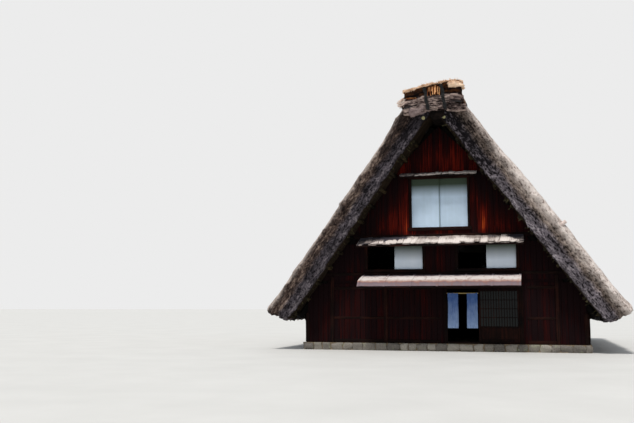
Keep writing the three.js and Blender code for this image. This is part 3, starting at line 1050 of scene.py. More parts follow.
def reed_tuft(name, length, width):
    """A small bunch of reeds, wide at the tied end and frayed at the tip."""
    only()
    bpy.ops.mesh.primitive_cone_add(vertices=5, radius1=width / 2, radius2=width / 5,
                                    depth=length, location=(0, 0, -length / 2),
                                    rotation=(math.pi, 0, 0))
    tuft = named(name)
    every(tuft)
    bpy.ops.mesh.subdivide(number_cuts=1)
    done()
    ruffle(tuft, width * 0.5, (width, width, length / 2), seed=length * 31)
    return tuft


def verge_tufts(side):
    """Places for the tufts that have slipped from the inner edge of both verges of a slope."""
    chance = random.Random(11 + side)
    places = []
    spread_x = EAVE_INNER_X - 0.45
    for end in (-1, 1):
        for n in range(sizes().tufts // 4):
            x = 0.4 + spread_x * chance.random()
            z = inner_z(x)
            y = end * (verge_y(z) - 0.10 - 0.3 * chance.random() ** 2)
            lean = turned("X", end * chance.uniform(-0.4, 0.8))
            swing = turned("Y", side * chance.uniform(0.2, 1.2))
            size = Matrix.Scale(chance.uniform(0.4, 1.0), 4)
            start = Vector((side * x, y, z + 0.07))
            places.append(Matrix.Translation(start) @ swing @ lean @ size)
    return places


def eave_tufts(side):
    """Places for the tufts that hang from the lower edge of the eave."""
    chance = random.Random(23 + side)
    places = []
    reach = -FRONT + VERGE_FOOT - 0.1
    for n in range(sizes().tufts):
        y = -reach + 2 * reach * chance.random()
        share = chance.uniform(0.0, 0.35)
        x = EAVE_INNER_X + share * (EAVE_TIP_X - EAVE_INNER_X)
        z = inner_z(EAVE_INNER_X) + share * (outer_z(EAVE_TIP_X) - inner_z(EAVE_INNER_X))
        swing = turned("Y", -side * chance.uniform(0.2, 1.1))
        size = Matrix.Scale(chance.uniform(0.4, 1.0), 4)
        start = Vector((side * (x + kick(x, z)), y, z + 0.07))
        places.append(Matrix.Translation(start) @ swing @ size)
    return places


def make_thatch():
    """Both slopes with the fringes of slipped reed along their edges."""
    for side, word in SIDES:
        slab = thatch_slope(side)
        settle(slab, thatch_finish(side), "thatch", smooth=180, replaces=[f"thatch_{word}"])
        sources = [reed_tuft("tuft", 0.14, 0.09), reed_tuft("tuft", 0.20, 0.06)]
        fringe = repeated(f"verge_fringe_{word}", sources, verge_tufts(side), seed=side)
        settle(fringe, mossy_straw_finish(), "thatch", smooth=60)
        fringe = repeated(f"eave_fringe_{word}", [reed_tuft("tuft", 0.14, 0.08)],
                          eave_tufts(side), seed=side)
        settle(fringe, ridge_course_finish(), "thatch", smooth=60)
    make_roof_pegs()


def make_roof_pegs():
    """Two short wooden pegs driven into the right slope, one of them near the front verge."""
    square = Vector((math.sin(SLOPE), 0, math.cos(SLOPE)))
    pegs = []
    for n, (x, y) in enumerate(((3.85, -6.2), (3.8, 2.1))):
        foot = Vector((x, y, outer_z(x)))
        peg = pole("peg", foot - square * 0.2, foot + square * 0.13, 0.07, sides=10, taper=0.9)
        bevel(peg, 0.015)
        ruffle(peg, 0.03, (0.07, 0.07, 0.07), seed=n)
        pegs.append(peg)
    settle(joined("roof_pegs", pegs), peg_finish(), "dark_timber", smooth=40)


# The ridge.

def ridge_reach(z):
    """How far the ridge cap stands from the middle of the house, at a height."""
    return RIDGE_END - CAP_LEAN * (RIDGE_TOP - z)


def sag(x, z):
    """How much higher straw of this height lies here than at the middle of the ridge."""
    share = (z - COURSES_FOOT) / (MAT_TOP - COURSES_FOOT)
    droop = 1.2 * max(0.0, x - 0.7) ** 2
    bow = 0.03 + 0.09 * min(1.0, share / 0.3) - 0.06 * max(0.0, (share - 0.3) / 0.7)
    return (0.02 + 0.145 * share) * x - bow * x * x - droop * share


def arch(place):
    """Lifts the lowest straw over the opening between the bindings."""
    aside = abs(place.x - 0.12) / 0.32
    return max(0.0, 1 - aside ** 3) * max(0.0, 7.76 - place.z)


def pinched(piece):
    """Draws the sides of a ridge piece in behind the fat bundles at its two ends."""
    for vertex in piece.data.vertices:
        behind = clamp((ridge_reach(vertex.co.z) - abs(vertex.co.y)) / RIDGE_HEAD)
        vertex.co.x *= 1 - RIDGE_PINCH * behind * behind * (3 - 2 * behind)


def straw_layer(low, thick, sides, inset, seed):
    """One thin layer of straw laid over the ridge, its ends trimmed to a lean and frayed."""
    left, right = sides
    layer = block("layer", (left, -8, low), (right, 8, low + thick))
    split(layer, 38, lambda middle, run: abs(run.x) > 1)
    split(layer, 20, lambda middle, run: abs(run.y) > 1)
    reach = ridge_reach(low) - inset
    for end in (-1, 1):
        cut(layer, (0, end * reach, low), (0, end, -CAP_LEAN))
        score(layer, (0, end * (reach - 0.12), low), (0, 1, 0))
    for vertex in layer.data.vertices:
        vertex.co.z += sag(vertex.co.x, low) + arch(vertex.co)
    ruffle(layer, thick * 0.7, (0.35, 0.5, 0.2), seed)
    ruffle(layer, 0.05, (0.10, 3.0, 0.05), seed + 1,
           share=lambda place, normal: abs(normal.y) > 0.5)
    pinched(layer)
    set_tone(layer, random.Random(seed).random())
    return layer


def straw_course(name, low, high, sides, inset, seed):
    """A course of straw: thin layers that start and stop a little differently."""
    chance = random.Random(seed)
    count = max(1, round((high - low) / sizes().straw_layer))
    thick = (high - low) / count
    layers = []
    for n in range(count):
        ends = (sides[0] + chance.uniform(-0.04, 0.04), sides[1] + chance.uniform(-0.04, 0.03))
        layers.append(straw_layer(low + n * thick, thick * 1.15, ends,
                                  inset + chance.uniform(-0.02, 0.035), seed * 20 + n))
    return joined(name, layers)


def make_ridge():
    """The cap's courses from the lowest up, and all that is laid and tied round them."""
    courses = [
        ("ridge_lowest_course", COURSES_FOOT, 7.85, (-0.93, 1.02), 0.05, ridge_course_finish),
        ("ridge_lower_seam", 7.85, 7.92, (-0.90, 0.98), 0.20, dark_course_finish),
        ("ridge_second_course", 7.92, 8.08, (-0.97, 0.97), 0.03, ridge_course_finish),
        ("ridge_dark_course", 8.08, 8.40, (-0.86, 0.93), 0.08, dark_course_finish),
        ("ridge_straw_mat", 8.42, MAT_TOP, (-0.92, 0.98), 0.0, straw_mat_finish),
    ]
    for seed, (name, low, high, sides, inset, finish) in enumerate(courses):
        course = straw_course(name, low, high, sides, inset, seed + 1)
        replaced = ["ridge_cap"] if name == "ridge_straw_mat" else []
        settle(course, finish(), "ridge_straw", smooth=40, replaces=replaced)
    make_ridge_roll()
    make_loose_bundles()
    make_hanging_straw()
    make_face_bindings()
    make_needles()


def make_ridge_roll():
    """The bundle of reed under the apex, which rounds the top of the gable's opening."""
    reach = ridge_reach(7.7) - 0.12
    roll = block("ridge_roll", (-0.17, -reach, 7.44), (0.37, reach, 7.78))
    bevel(roll, 0.14, 4, lambda middle, run: abs(run.y) > 1 and middle.z < 7.6)
    modify(roll, "REMESH", mode="VOXEL", voxel_size=0.08)
    ruffle(roll, 0.05, (0.12, 0.8, 0.12), seed=4)
    settle(roll, soot_finish(), "ridge_straw", smooth=180)


def straw_bundle(name, low, high, seed):
    """A rounded bundle of loose straw between two corners."""
    bundle = block(name, low, high)
    bevel(bundle, min(b - a for a, b in zip(low, high)) * 0.35, 3)
    modify(bundle, "REMESH", mode="VOXEL", voxel_size=BUNDLE_MESH)
    ruffle(bundle, 0.06, (0.22, 0.22, 0.08), seed)
    ruffle(bundle, 0.03, (0.06, 0.2, 0.05), seed + 1)
    return bundle


def tilted(piece, rate, level_x):
    """Raises a piece to one side and lowers it to the other, evenly."""
    for vertex in piece.data.vertices:
        vertex.co.z += rate * (vertex.co.x - level_x)


def make_loose_bundles():
    """Loose bundles at each gable: a pale one on the mat's right, two weathered on the left."""
    reach = ridge_reach(8.4)
    pale = straw_bundle("loose_bundle", (0.50, -reach, 8.30), (1.01, -reach + 0.5, 8.49), 9)
    for vertex in pale.data.vertices:
        rise = (vertex.co.z - 8.32) / 0.17
        vertex.co.z -= 1.6 * rise * max(0.0, vertex.co.x - 0.75) ** 2
    at_both_gables(pale, "loose_bundle", straw_mat_finish(), "ridge_straw", smooth=180)
    reach = ridge_reach(7.7) + 0.06
    slack = straw_bundle("slack_bundle", (-0.78, -reach, 7.66), (-0.22, -reach + 0.8, 7.94), 12)
    tilted(slack, 0.22, -0.1)
    at_both_gables(slack, "slack_bundle", slack_straw_finish(), "ridge_straw", smooth=180)
    reach = ridge_reach(8.0) - 0.02
    upper = straw_bundle("upper_bundle", (-0.93, -reach, 8.00), (-0.24, -reach + 0.5, 8.17), 15)
    tilted(upper, 0.09, -0.2)
    set_tone(upper, 0.15)
    at_both_gables(upper, "upper_bundle", ridge_course_finish(), "ridge_straw", smooth=180)


def strand(name, length, width):
    """A few straws stuck together, thin at the tip, hanging from the origin."""
    piece = pole(name, (0, 0, 0), (0, 0, -length), width, sides=5, taper=0.25)
    split(piece, 2, lambda middle, run: abs(run.z) > length / 2)
    ruffle(piece, width, (0.03, 0.03, 0.06))
    return piece


def slipped_places(chance):
    """Places for straws that hang over the dark course, and for some flat ones to their left."""
    places = []
    for n in range(20):
        x = chance.gauss((-0.06, 0.13)[n % 2], 0.05)
        z = 8.39 + sag(x, 8.39) - chance.uniform(0, 0.05)
        start = Matrix.Translation((x, 0.10 - ridge_reach(z), z))
        tilt = turned("Y", chance.uniform(-0.12, 0.12))
        size = Matrix.Diagonal((1.6, 1.2, chance.uniform(0.6, 1.6), 1))
        places.append(start @ tilt @ turned("X", -0.22) @ size)
    for n in range(14):
        start = (chance.uniform(-0.84, -0.66), 0.02 - ridge_reach(8.1), 8.03 + 0.01 * (n % 3))
        places.append(Matrix.Translation(start) @ turned("Y", -1.45 - 0.1 * chance.random()))
    return places


def frayed_places(chance):
    """Places for straws that stand out from the mat's edge."""
    places = []
    for n in range(130):
        x = chance.uniform(-0.93, 0.9)
        z = 8.45 + sag(x, 8.45) + chance.uniform(-0.015, 0.015)
        start = Matrix.Translation((x, 0.10 - ridge_reach(z), z))
        spin = turned("X", chance.uniform(-1.9, -0.9))
        swing = turned("Y", chance.uniform(-0.7, 0.7))
        size = Matrix.Diagonal((0.7, 0.7, chance.uniform(0.5, 1.0), 1))
        places.append(start @ swing @ spin @ size)
    return places


def tip_places(chance):
    """Places for the pale tips at the left end of the second course."""
    places = []
    for n in range(110):
        x = chance.uniform(-1.0, -0.84)
        z = chance.uniform(7.90, 8.09)
        start = Matrix.Translation((x, chance.uniform(0.0, 0.3) - ridge_reach(z), z))
        swing = turned("Y", chance.uniform(0.5, 1.3))
        spin = turned("X", chance.uniform(-0.5, 0.3))
        places.append(start @ swing @ spin @ Matrix.Scale(chance.uniform(0.7, 1.0), 4))
    return places


def lying_places(chance):
    """Places for straws that lie across the face of the lower courses."""
    places = []
    for n in range(320):
        x, z = chance.uniform(-0.72, 0.75), chance.uniform(7.64, 8.07)
        out = chance.uniform(-0.02, 0.03) - ridge_reach(z)
        start = Matrix.Translation((x, out, z + sag(x, z)))
        swing = turned("Y", chance.choice((-1, 1)) * chance.uniform(1.35, 1.7))
        places.append(start @ swing @ Matrix.Scale(chance.uniform(0.7, 1.3), 4))
    return places


def make_hanging_straw():
    """Loose straws on the face of the ridge at each gable."""
    chance = random.Random(5)
    slipped = slipped_places(chance)
    frayed = frayed_places(chance)
    tips = tip_places(chance)
    lying = lying_places(chance)
    for name, places, finish in (("slipped_straw", slipped, orange_straw_finish),
                                 ("lying_straw", lying, ridge_course_finish),
                                 ("frayed_straw", frayed, straw_mat_finish),
                                 ("straw_tips", tips, ragged_straw_finish)):
        straw = repeated(name, [strand("strand", 0.2, 0.016)], places, seed=6)
        at_both_gables(straw, name, finish(), "ridge_straw", smooth=60)


def binding_line(x, strand_x):
    """Points of one strand of a binding, down the face of the ridge and in at both ends."""
    points = []
    for step in range(15):
        rise = BINDING_HEAD_Z - BINDING_FOOT_Z + sag(x, BINDING_HEAD_Z)
        z = BINDING_FOOT_Z + rise * step / 14
        bulge = 0.045 if z < 8.12 else 0.0
        bulge += 0.012 * math.sin(step * 1.9 + strand_x * 40)
        sway = strand_x + 0.012 * math.sin(step * 0.8) - 0.12 * (z - 8)
        points.append((x + sway, -ridge_reach(z) - bulge, z))
    top, foot = points[-1], points[0]
    points.append((top[0], top[1] + 0.3, top[2] + 0.02))
    points.insert(0, (foot[0], foot[1] + 0.25, foot[2] - 0.02))
    return points


def make_face_bindings():
    """Two dark rope bindings down the face of the ridge at each gable, thin ropes across them."""
    ropes = []
    for x in BINDINGS_X:
        for strand_x in (-0.032, 0.0, 0.032):
            ropes.append(tube("binding", binding_line(x, strand_x), 0.02))
    for height in (7.885, 7.90):
        points = [(x / 10, -ridge_reach(height), height + sag(x / 10, height))
                  for x in range(-9, 10)]
        ropes.append(tube("binding", points, 0.012))
    piece = joined("face_bindings", ropes)
    at_both_gables(piece, "face_bindings", rope_finish(), "ridge_straw", smooth=60)


def make_needles():
    """Poles thrust through the thatch below the ridge, and the ropes that tie the cap to them."""
    poles, ropes = [], []
    z = NEEDLE_Z
    reach = (APEX - z) / PITCH + 0.14
    for n in range(sizes().needles):
        y = -NEEDLES_REACH + 2 * NEEDLES_REACH * n / (sizes().needles - 1)
        needle = pole("needle", (-reach, y, z), (reach, y + 0.02, z + 0.015), 0.05, sides=10)
        bevel(needle, 0.01)
        ruffle(needle, 0.01, (0.5, 0.08, 0.08), seed=n)
        set_tone(needle, n / sizes().needles)
        poles.append(needle)
        for shift in (-0.05, 0.05):
            ropes.append(cap_rope(y + shift, reach - 0.06, z))
    settle(joined("ridge_needles", poles), rafter_finish(), "dark_timber", smooth=40)
    settle(joined("ridge_ropes", ropes), rope_finish(), "ridge_straw", smooth=60)


def cap_rope(y, reach, z):
    """A rope from a needle's end up the slope, over the cap and down to the other end."""
    up_slope = [(reach, z + 0.05), (reach - 0.03, z + 0.07)]
    for x in (1.36, 1.22, 1.10):
        up_slope.append((x, outer_z(x) + 0.03))
    top = [0.80 - 0.20 * step for step in range(9)]
    over = [(0.92, 7.86), (0.90, 8.06), (0.88, 8.28), (0.87, 8.40)]
    over += [(x, MAT_TOP + 0.035 + sag(x, MAT_TOP)) for x in top]
    over += [(-0.84, 8.22), (-0.86, 8.05), (-0.88, 7.86)]
    down = [(-x, height) for x, height in reversed(up_slope)]
    return tube("cap_rope", [(x, y, height) for x, height in up_slope + over + down], 0.014,
                sides=2)


# Timber under the thatch.

def frame_bays():
    """Where each pair of rafters stands along the house."""
    end = -FRONT - 0.07
    return [end * (2 * n / FRAME_BAYS - 1) for n in range(FRAME_BAYS + 1)]


def make_roof_frame():
    """Hewn rafters in pairs, round purlins across them, and a lashing where they cross."""
    for side, word in SIDES:
        rafters = [rafter(side, y, seed) for seed, y in enumerate(frame_bays())]
        settle(joined(f"rafters_{word}", rafters), rafter_finish(), "dark_timber", smooth=40)
        poles = purlins(side, word)
        settle(poles, None, "dark_timber", smooth=50, replaces=[f"roof_frame_{word}"])
        settle(lashings(side, word), rope_finish(), "dark_timber", smooth=60)


def below_thatch(x, depth):
    """Height of a point this deep, square to the slope, under the thatch's inner line."""
    return inner_z(x) - depth / math.cos(SLOPE)


def rafter(side, y, seed):
    """A squared pole down one slope, hewn uneven."""
    depth = 0.105
    start = Vector((side * RAFTER_HEAD_X, y, below_thatch(RAFTER_HEAD_X, depth)))
    end = Vector((side * RAFTER_FOOT_X, y, below_thatch(RAFTER_FOOT_X, depth)))
    length = (end - start).length
    middle = (start + end) / 2
    half = Vector((length / 2, 0.065, 0.09))
    piece = block("rafter", middle - half, middle + half, turn=side * SLOPE)
    bevel(piece, 0.025)
    split(piece, 24, lambda middle, run: run.length > 2)
    ruffle(piece, 0.02, (0.4, 0.2, 0.4), seed)
    set_tone(piece, (seed * 0.37) % 1)
    return piece


def purlin_places():
    """How far out each purlin of a slope lies."""
    room = RAFTER_FOOT_X - FIRST_PURLIN_X
    return [FIRST_PURLIN_X + room * n / PURLIN_GAPS for n in range(PURLIN_GAPS + 1)]


def purlins(side, word):
    """Round poles along the house; their sawn ends are a second material."""
    made = []
    for n, x in enumerate(purlin_places()):
        z = below_thatch(x, 0.05)
        reach = verge_y(z) - 0.22
        if n == 0:
            z += 0.17
            reach += 0.26
        shift = side * (x + 0.03)
        stick = pole("purlin", (shift, -reach, z), (shift, reach, z), 0.055, sides=10)
        split(stick, 30, lambda middle, run: run.length > 2)
        ruffle(stick, 0.02, (0.3, 0.7, 0.3), seed=n + 20 * side)
        set_tone(stick, (n * 0.43) % 1)
        made.append(stick)
    poles = joined(f"purlins_{word}", made)
    poles.data.materials.append(purlin_finish())
    poles.data.materials.append(cut_wood_finish())
    for face in poles.data.polygons:
        face.material_index = int(abs(face.normal.y) > 0.8)
    return poles


def lashings(side, word):
    """Rope wound round each crossing of rafter and purlin."""
    only()
    bpy.ops.mesh.primitive_torus_add(major_radius=0.085, minor_radius=0.013, major_segments=10,
                                     minor_segments=4, rotation=(0, 0.5, 0))
    ring = named("lashing")
    rings = [twin(ring, "lashing", Matrix.Translation((0, shift, 0)))
             for shift in (-0.028, 0.0, 0.028)]
    bpy.data.objects.remove(ring)
    wound = joined("lashing", rings)
    places = []
    for y in frame_bays():
        for x in purlin_places():
            place = Vector((side * (x + 0.03), y, below_thatch(x, 0.08)))
            places.append(Matrix.Translation(place) @ turned("X", math.pi / 2))
    return repeated(f"lashings_{word}", [wound], places, seed=2)


# Gable walls.

def wall_board():
    """One metre of wall board with eased edges, its back on the wall plane."""
    board = block("board", (-0.093, -BOARD_THICK, 0), (0.093, 0, 1))
    bevel(board, 0.006, 1, lambda middle, run: abs(run.z) > 0.5 and middle.y < -BOARD_THICK / 2)
    return board


def board_places(chance, x0, x1, z0, z1, y):
    """Boards side by side between two sides, each a little out of true."""
    count = max(1, round((x1 - x0) / sizes().board_width))
    width = (x1 - x0) / count
    places = []
    for n in range(count):
        x = x0 + (n + 0.5) * width
        out = chance.uniform(-0.004, 0.006)
        turn = turned("Z", chance.uniform(-0.02, 0.02))
        tall = z1 - z0 + chance.uniform(-0.012, 0.0)
        size = Matrix.Diagonal((width * 0.965 / 0.186, 1, tall, 1))
        places.append(Matrix.Translation((x, y - out, z0)) @ turn @ size)
    return places


def gable_board_areas(end):
    """Rectangles of boarding on one gable, [left, right, bottom, top]."""
    above = [[-3.6, -1.0, 3.68, 5.84], [1.0, 3.6, 3.68, 5.84], [-1.0, 1.0, 3.68, 3.95],
             [-3.6, -1.3, 5.84, 7.5], [1.3, 3.6, 5.84, 7.5], [-1.3, 1.3, 5.80, 7.5]]
    second = [[-WALL_HALF, -2.5, 2.3, 3.52], [2.5, WALL_HALF, 2.3, 3.52],
              [-0.5, 0.5, 2.56, 3.52]]
    ground = [[-WALL_HALF, WALL_HALF, BOARDS_FOOT_Z, GROUND_BOARDS_Z]]
    if end == "front":
        left, right = 0.05, 2.65
        ground = [[-WALL_HALF, left, BOARDS_FOOT_Z, GROUND_BOARDS_Z],
                  [right, WALL_HALF, BOARDS_FOOT_Z, GROUND_BOARDS_Z],
                  [left, right, 2.12, GROUND_BOARDS_Z]]
    return above + second + ground


def gable_boards(end):
    """The boarding of one gable, cut off under the rafters."""
    chance = random.Random(31 if end == "front" else 37)
    places = []
    for x0, x1, z0, z1 in gable_board_areas(end):
        places += board_places(chance, x0, x1, z0, z1, FRONT)
    boards = repeated(f"{end}_gable_boards", [wall_board()], places, seed=chance.random())
    for side in (-1, 1):
        cut(boards, (0, 0, under_rafter_z(0) - 0.02), (side * PITCH, 0, 1))
    return boards


def member(name, low, high, seed, ease=0.012):
    """A squared timber with eased edges and a slight hand-worked waviness."""
    piece = block(name, low, high)
    longest = max(b - a for a, b in zip(low, high))
    split(piece, max(1, int(longest / 0.25)), lambda middle, run: run.length > longest * 0.99)
    modify(piece, "BEVEL", width=ease, segments=1, limit_method="ANGLE")
    ruffle(piece, 0.008, (0.35, 0.35, 0.35), seed)
    set_tone(piece, (seed * 0.29) % 1)
    return piece


def gable_timbers(end):
    """Posts, sills, heads and girts that stand a little proud of the boards."""
    face = FRONT - BOARD_THICK
    proud = 0.03
    low_x = [(-2.42, -0.58), (0.58, 2.42)]
    upright, across = [], []

    def post(x, z0, z1, width=0.12, out=proud):
        upright.append(member("post", (x - width / 2, face - out, z0), (x + width / 2, FRONT, z1),
                              seed=len(upright) + 3))

    def beam(x0, x1, z0, z1, out=proud):
        across.append(member("beam", (x0, face - out, z0), (x1, FRONT, z1), seed=len(across) + 5))

    for x0, x1 in low_x:
        post(x0 - 0.05, 2.56, 3.6, 0.1)
        post(x1 + 0.05, 2.56, 3.6, 0.1)
        beam(x0 - 0.1, x1 + 0.1, SILL_Z - 0.10, SILL_Z, 0.05)
        beam(x0 - 0.1, x1 + 0.1, LOW_HEAD_Z, LOW_HEAD_Z + 0.09, 0.04)
    for x in (-0.96, 0.96):
        post(x, HIGH_SILL_Z - 0.1, HIGH_HEAD_Z + 0.1, 0.08, 0.04)
    beam(-1.05, 1.05, HIGH_SILL_Z - 0.11, HIGH_SILL_Z, 0.05)
    beam(-1.05, 1.05, HIGH_HEAD_Z, HIGH_HEAD_Z + 0.10, 0.05)
    for x in (-3.64, 3.64):
        post(x, BOARDS_FOOT_Z, GROUND_POSTS_Z)
    for x in (-4.49, 4.49):
        post(x, BOARDS_FOOT_Z, 1.22)
    beam(-4.3, 4.3, 2.46, 2.56, 0.02)
    beam(-2.9, 2.9, 3.70, 3.80, 0.02)
    between = [-1.82] if end == "front" else [-1.82, 0, 1.82]
    for x in between:
        post(x, BOARDS_FOOT_Z, GROUND_POSTS_Z)
    grounds = [(-3.58, -0.02), (2.72, 3.58)] if end == "front" else [(-3.58, 3.58)]
    for x0, x1 in grounds:
        beam(x0, x1, 1.02, 1.10, 0.012)
        beam(x0, x1, BOARDS_FOOT_Z, 0.36, 0.02)
        beam(x0, x1, 1.99, 2.09, 0.02)
    posts = joined(f"{end}_posts", upright)
    beams = joined(f"{end}_beams", across)
    for piece in (posts, beams):
        for side in (-1, 1):
            cut(piece, (0, 0, under_rafter_z(0) - 0.01), (side * PITCH, 0, 1))
    return posts, beams


def make_gable_walls():
    """Boards, posts and beams of both gables, and the side walls."""
    for end in ("front", "back"):
        boards = gable_boards(end)
        posts, beams = gable_timbers(end)
        if end == "back":
            for piece in (boards, posts, beams):
                moved(piece, HALF_TURN)
        settle(boards, wall_board_finish(), "wall_boards", smooth=30)
        settle(posts, dark_timber_finish(), "dark_timber", smooth=40)
        settle(beams, dark_beam_finish(), "dark_timber", smooth=40)
    make_side_walls()


def make_side_walls():
    """Boards and posts along the low side walls under the eaves."""
    top = under_rafter_z(SIDE_X) - 0.03
    for side, word in SIDES:
        chance = random.Random(41 + side)
        reach = -FRONT - 0.13
        places = board_places(chance, -reach, reach, BASE_TOP + 0.01, top, -SIDE_X)
        turn = turned("Z", side * math.pi / 2)
        places = [turn @ place for place in places]
        boards = repeated(f"{word}_side_boards", [wall_board()], places, seed=side + 2)
        settle(boards, wall_board_finish(), "wall_boards", smooth=30)
        posts = []
        for n in range(7):
            y = -reach + 2 * reach * n / 6
            low = (-0.06 + y, -SIDE_X - 0.05, BASE_TOP + 0.01)
            high = (0.06 + y, -SIDE_X, top - 0.02)
            posts.append(moved(member("post", low, high, seed=n + 50), turn))
        posts = joined(f"{word}_side_posts", posts)
        settle(posts, dark_timber_finish(), "dark_timber", smooth=40)


# Windows.

def window_panel(name, node):
    """A pale sheet in a thin frame, made in the room that its CAD panel holds."""
    low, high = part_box(node)
    edge = 0.035
    sheet = block(name, (low.x + 0.004, low.y + 0.006, low.z + 0.004),
                  (high.x - 0.004, high.y - 0.008, high.z - 0.004))
    choose(sheet, "FACE", lambda middle, normal: normal.y < -0.9)
    bpy.ops.mesh.inset(thickness=edge, depth=-0.004)
    bpy.ops.mesh.subdivide(number_cuts=10)
    done()
    ruffle(sheet, 0.003, (0.3, 0.3, 0.3), seed=len(node),
           share=lambda place, normal: normal.y < -0.9)
    bars = []
    for x0, x1 in ((low.x, low.x + edge), (high.x - edge, high.x)):
        bars.append(member("bar", (x0, low.y, low.z), (x1, high.y, high.z), seed=7, ease=0.004))
    for z0, z1 in ((low.z, low.z + edge), (high.z - edge, high.z)):
        bars.append(member("bar", (low.x + edge, low.y, z0), (high.x - edge, high.y, z1), seed=8,
                           ease=0.004))
    return sheet, joined(f"{name}_frame", bars)


def make_windows():
    """The eight sheets and frames, four on each gable."""
    finish = white_panel_finish()
    for place in ("low_panel_left", "low_panel_right", "high_panel_left", "high_panel_right"):
        sheet, border = window_panel(place, f"front_{place}")
        at_both_gables(sheet, f"{place}_sheet", finish, "white_panel", replaced=place, smooth=30)
        at_both_gables(border, f"{place}_frame", finish, "white_panel", smooth=30)


# Pent roofs.

def shingle(name, width, length, crown, lift):
    """A split shake: crowned or hollow across, its butt end lifted by the weather and rounded."""
    thick = 0.014
    piece = block(name, (-width / 2, -length, 0), (width / 2, 0, thick))
    split(piece, 3, lambda middle, run: abs(run.z) < thick / 2)
    for vertex in piece.data.vertices:
        across, down = vertex.co.x / (width / 2), -vertex.co.y / length
        vertex.co.z += crown * (1 - across * across) * (0.4 + 0.6 * down) + lift * down * down
        vertex.co.y += 0.05 * across * across * down
    ruffle(piece, 0.008, (0.15, 0.3, 0.15), seed=crown * 100)
    return piece


def shingle_places(half, wall_z, fall, layers, seed):
    """Places of shakes down a pent roof; a layer is how far out it starts and how high it lies."""
    chance = random.Random(seed)
    angle = math.atan(fall)
    places = []
    count = round(2 * half / sizes().shake_width)
    step = 2 * half / count
    for out, lie in layers:
        for n in range(count):
            x = -half + (n + 0.5) * step + chance.uniform(-0.02, 0.02)
            x = max(-half + 0.13, min(half - 0.13, x))
            rise = lie + 0.008 * (n % 2)
            y = FRONT - out - chance.uniform(0, 0.05)
            start = Vector((x, y, wall_z - fall * out + rise))
            tilt = turned("X", angle + chance.uniform(-0.02, 0.03))
            roll = turned("Y", chance.uniform(-0.04, 0.04))
            skew = turned("Z", chance.uniform(-0.03, 0.03))
            places.append(Matrix.Translation(start) @ tilt @ roll @ skew)
    return places


def shingle_roof(name, half, wall_z, fall, length, layers, seed):
    """A pent roof's cover of long shakes side by side, a layer beneath painted dark as shade in
    its gaps, and a pale one over it.
    """
    sources = [shingle("shingle", 0.25, length, 0.010, 0.0),
               shingle("shingle", 0.20, length - 0.03, 0.014, 0.004),
               shingle("shingle", 0.29, length + 0.02, 0.008, 0.0),
               shingle("shingle", 0.23, length, -0.006, 0.004)]
    spares = [twin(source, "shingle", Matrix.Identity(4)) for source in sources]
    under = repeated(name, spares, shingle_places(half, wall_z, fall, layers[:1], seed), seed)
    # Tone 0 paints the layer beneath darker, as painted shade in the gaps.
    set_tone(under, 0.0)
    over = repeated(name, sources, shingle_places(half, wall_z, fall, layers[1:], seed + 1), seed)
    cover = joined(name, [under, over])
    at_both_gables(cover, name, shingle_finish(), "grey_shingles", smooth=40)


def metal_sheet():
    """The folded metal skin over the lowest pent roof, with raised seams."""
    lie = 0.03
    only()
    bpy.ops.mesh.primitive_plane_add(size=1, location=(0, FRONT - METAL_OUT / 2, METAL_TOP_Z))
    bpy.context.object.scale = (2 * METAL_HALF, METAL_OUT, 1)
    skin = named("metal_skin")
    for vertex in skin.data.vertices:
        vertex.co.z = METAL_TOP_Z + lie - (FRONT - vertex.co.y) * METAL_DROP / METAL_OUT
    choose(skin, "EDGE", lambda middle, run: middle.y < FRONT - METAL_OUT + 0.05)
    bpy.ops.mesh.extrude_region_move(TRANSFORM_OT_translate={"value": (0, -0.155, -0.172)})
    bpy.ops.mesh.extrude_region_move(TRANSFORM_OT_translate={"value": (0, 0.03, -0.012)})
    done()
    bevel(skin, 0.06, 3, lambda middle, run: abs(middle.y - FRONT + METAL_OUT) < 0.01)
    split(skin, 90, lambda middle, run: abs(run.x) > METAL_HALF)
    rib = twin(skin, "rib", Matrix.Identity(4))
    for side in (-1, 1):
        cut(rib, (side * 0.035, 0, 0), (side, 0, 0), fill=False)
    ruffle(skin, 0.02, (0.5, 0.6, 0.6), seed=3,
           share=lambda place, normal: min(1.0, (FRONT - place.y) / 0.9))
    modify(skin, "SOLIDIFY", thickness=0.006, offset=-1)
    modify(rib, "SOLIDIFY", thickness=0.02, offset=1)
    seams = [twin(rib, "rib", Matrix.Translation((x, 0, 0)))
             for x in (-2.53, -1.69, -0.84, 0.0, 0.84, 1.69, 2.53)]
    bpy.data.objects.remove(rib)
    return joined("metal_sheet", [skin, *seams])


def make_pent_roofs():
    """Two roofs of shakes and one of sheet metal on each gable."""
    shingle_roof("lower_shingles", LOWER_HALF, LOWER_TOP_Z, LOWER_FALL, 0.70,
                 [(-0.01, 0.002), (-0.03, 0.020)], seed=61)
    shingle_roof("upper_shingles", UPPER_HALF, UPPER_TOP_Z, UPPER_FALL, 0.41,
                 [(0.0, 0.0), (-0.02, 0.010)], seed=67)
    at_both_gables(metal_sheet(), "metal_sheet", sheet_metal_finish(), "rusty_sheet_metal",
                   smooth=30)


# The entrance.

def slim(name, low, high, tone):
    """A thin bar with eased edges, all of one shade."""
    bar = block(name, low, high)
    bevel(bar, 0.003)
    set_tone(bar, tone)
    return bar


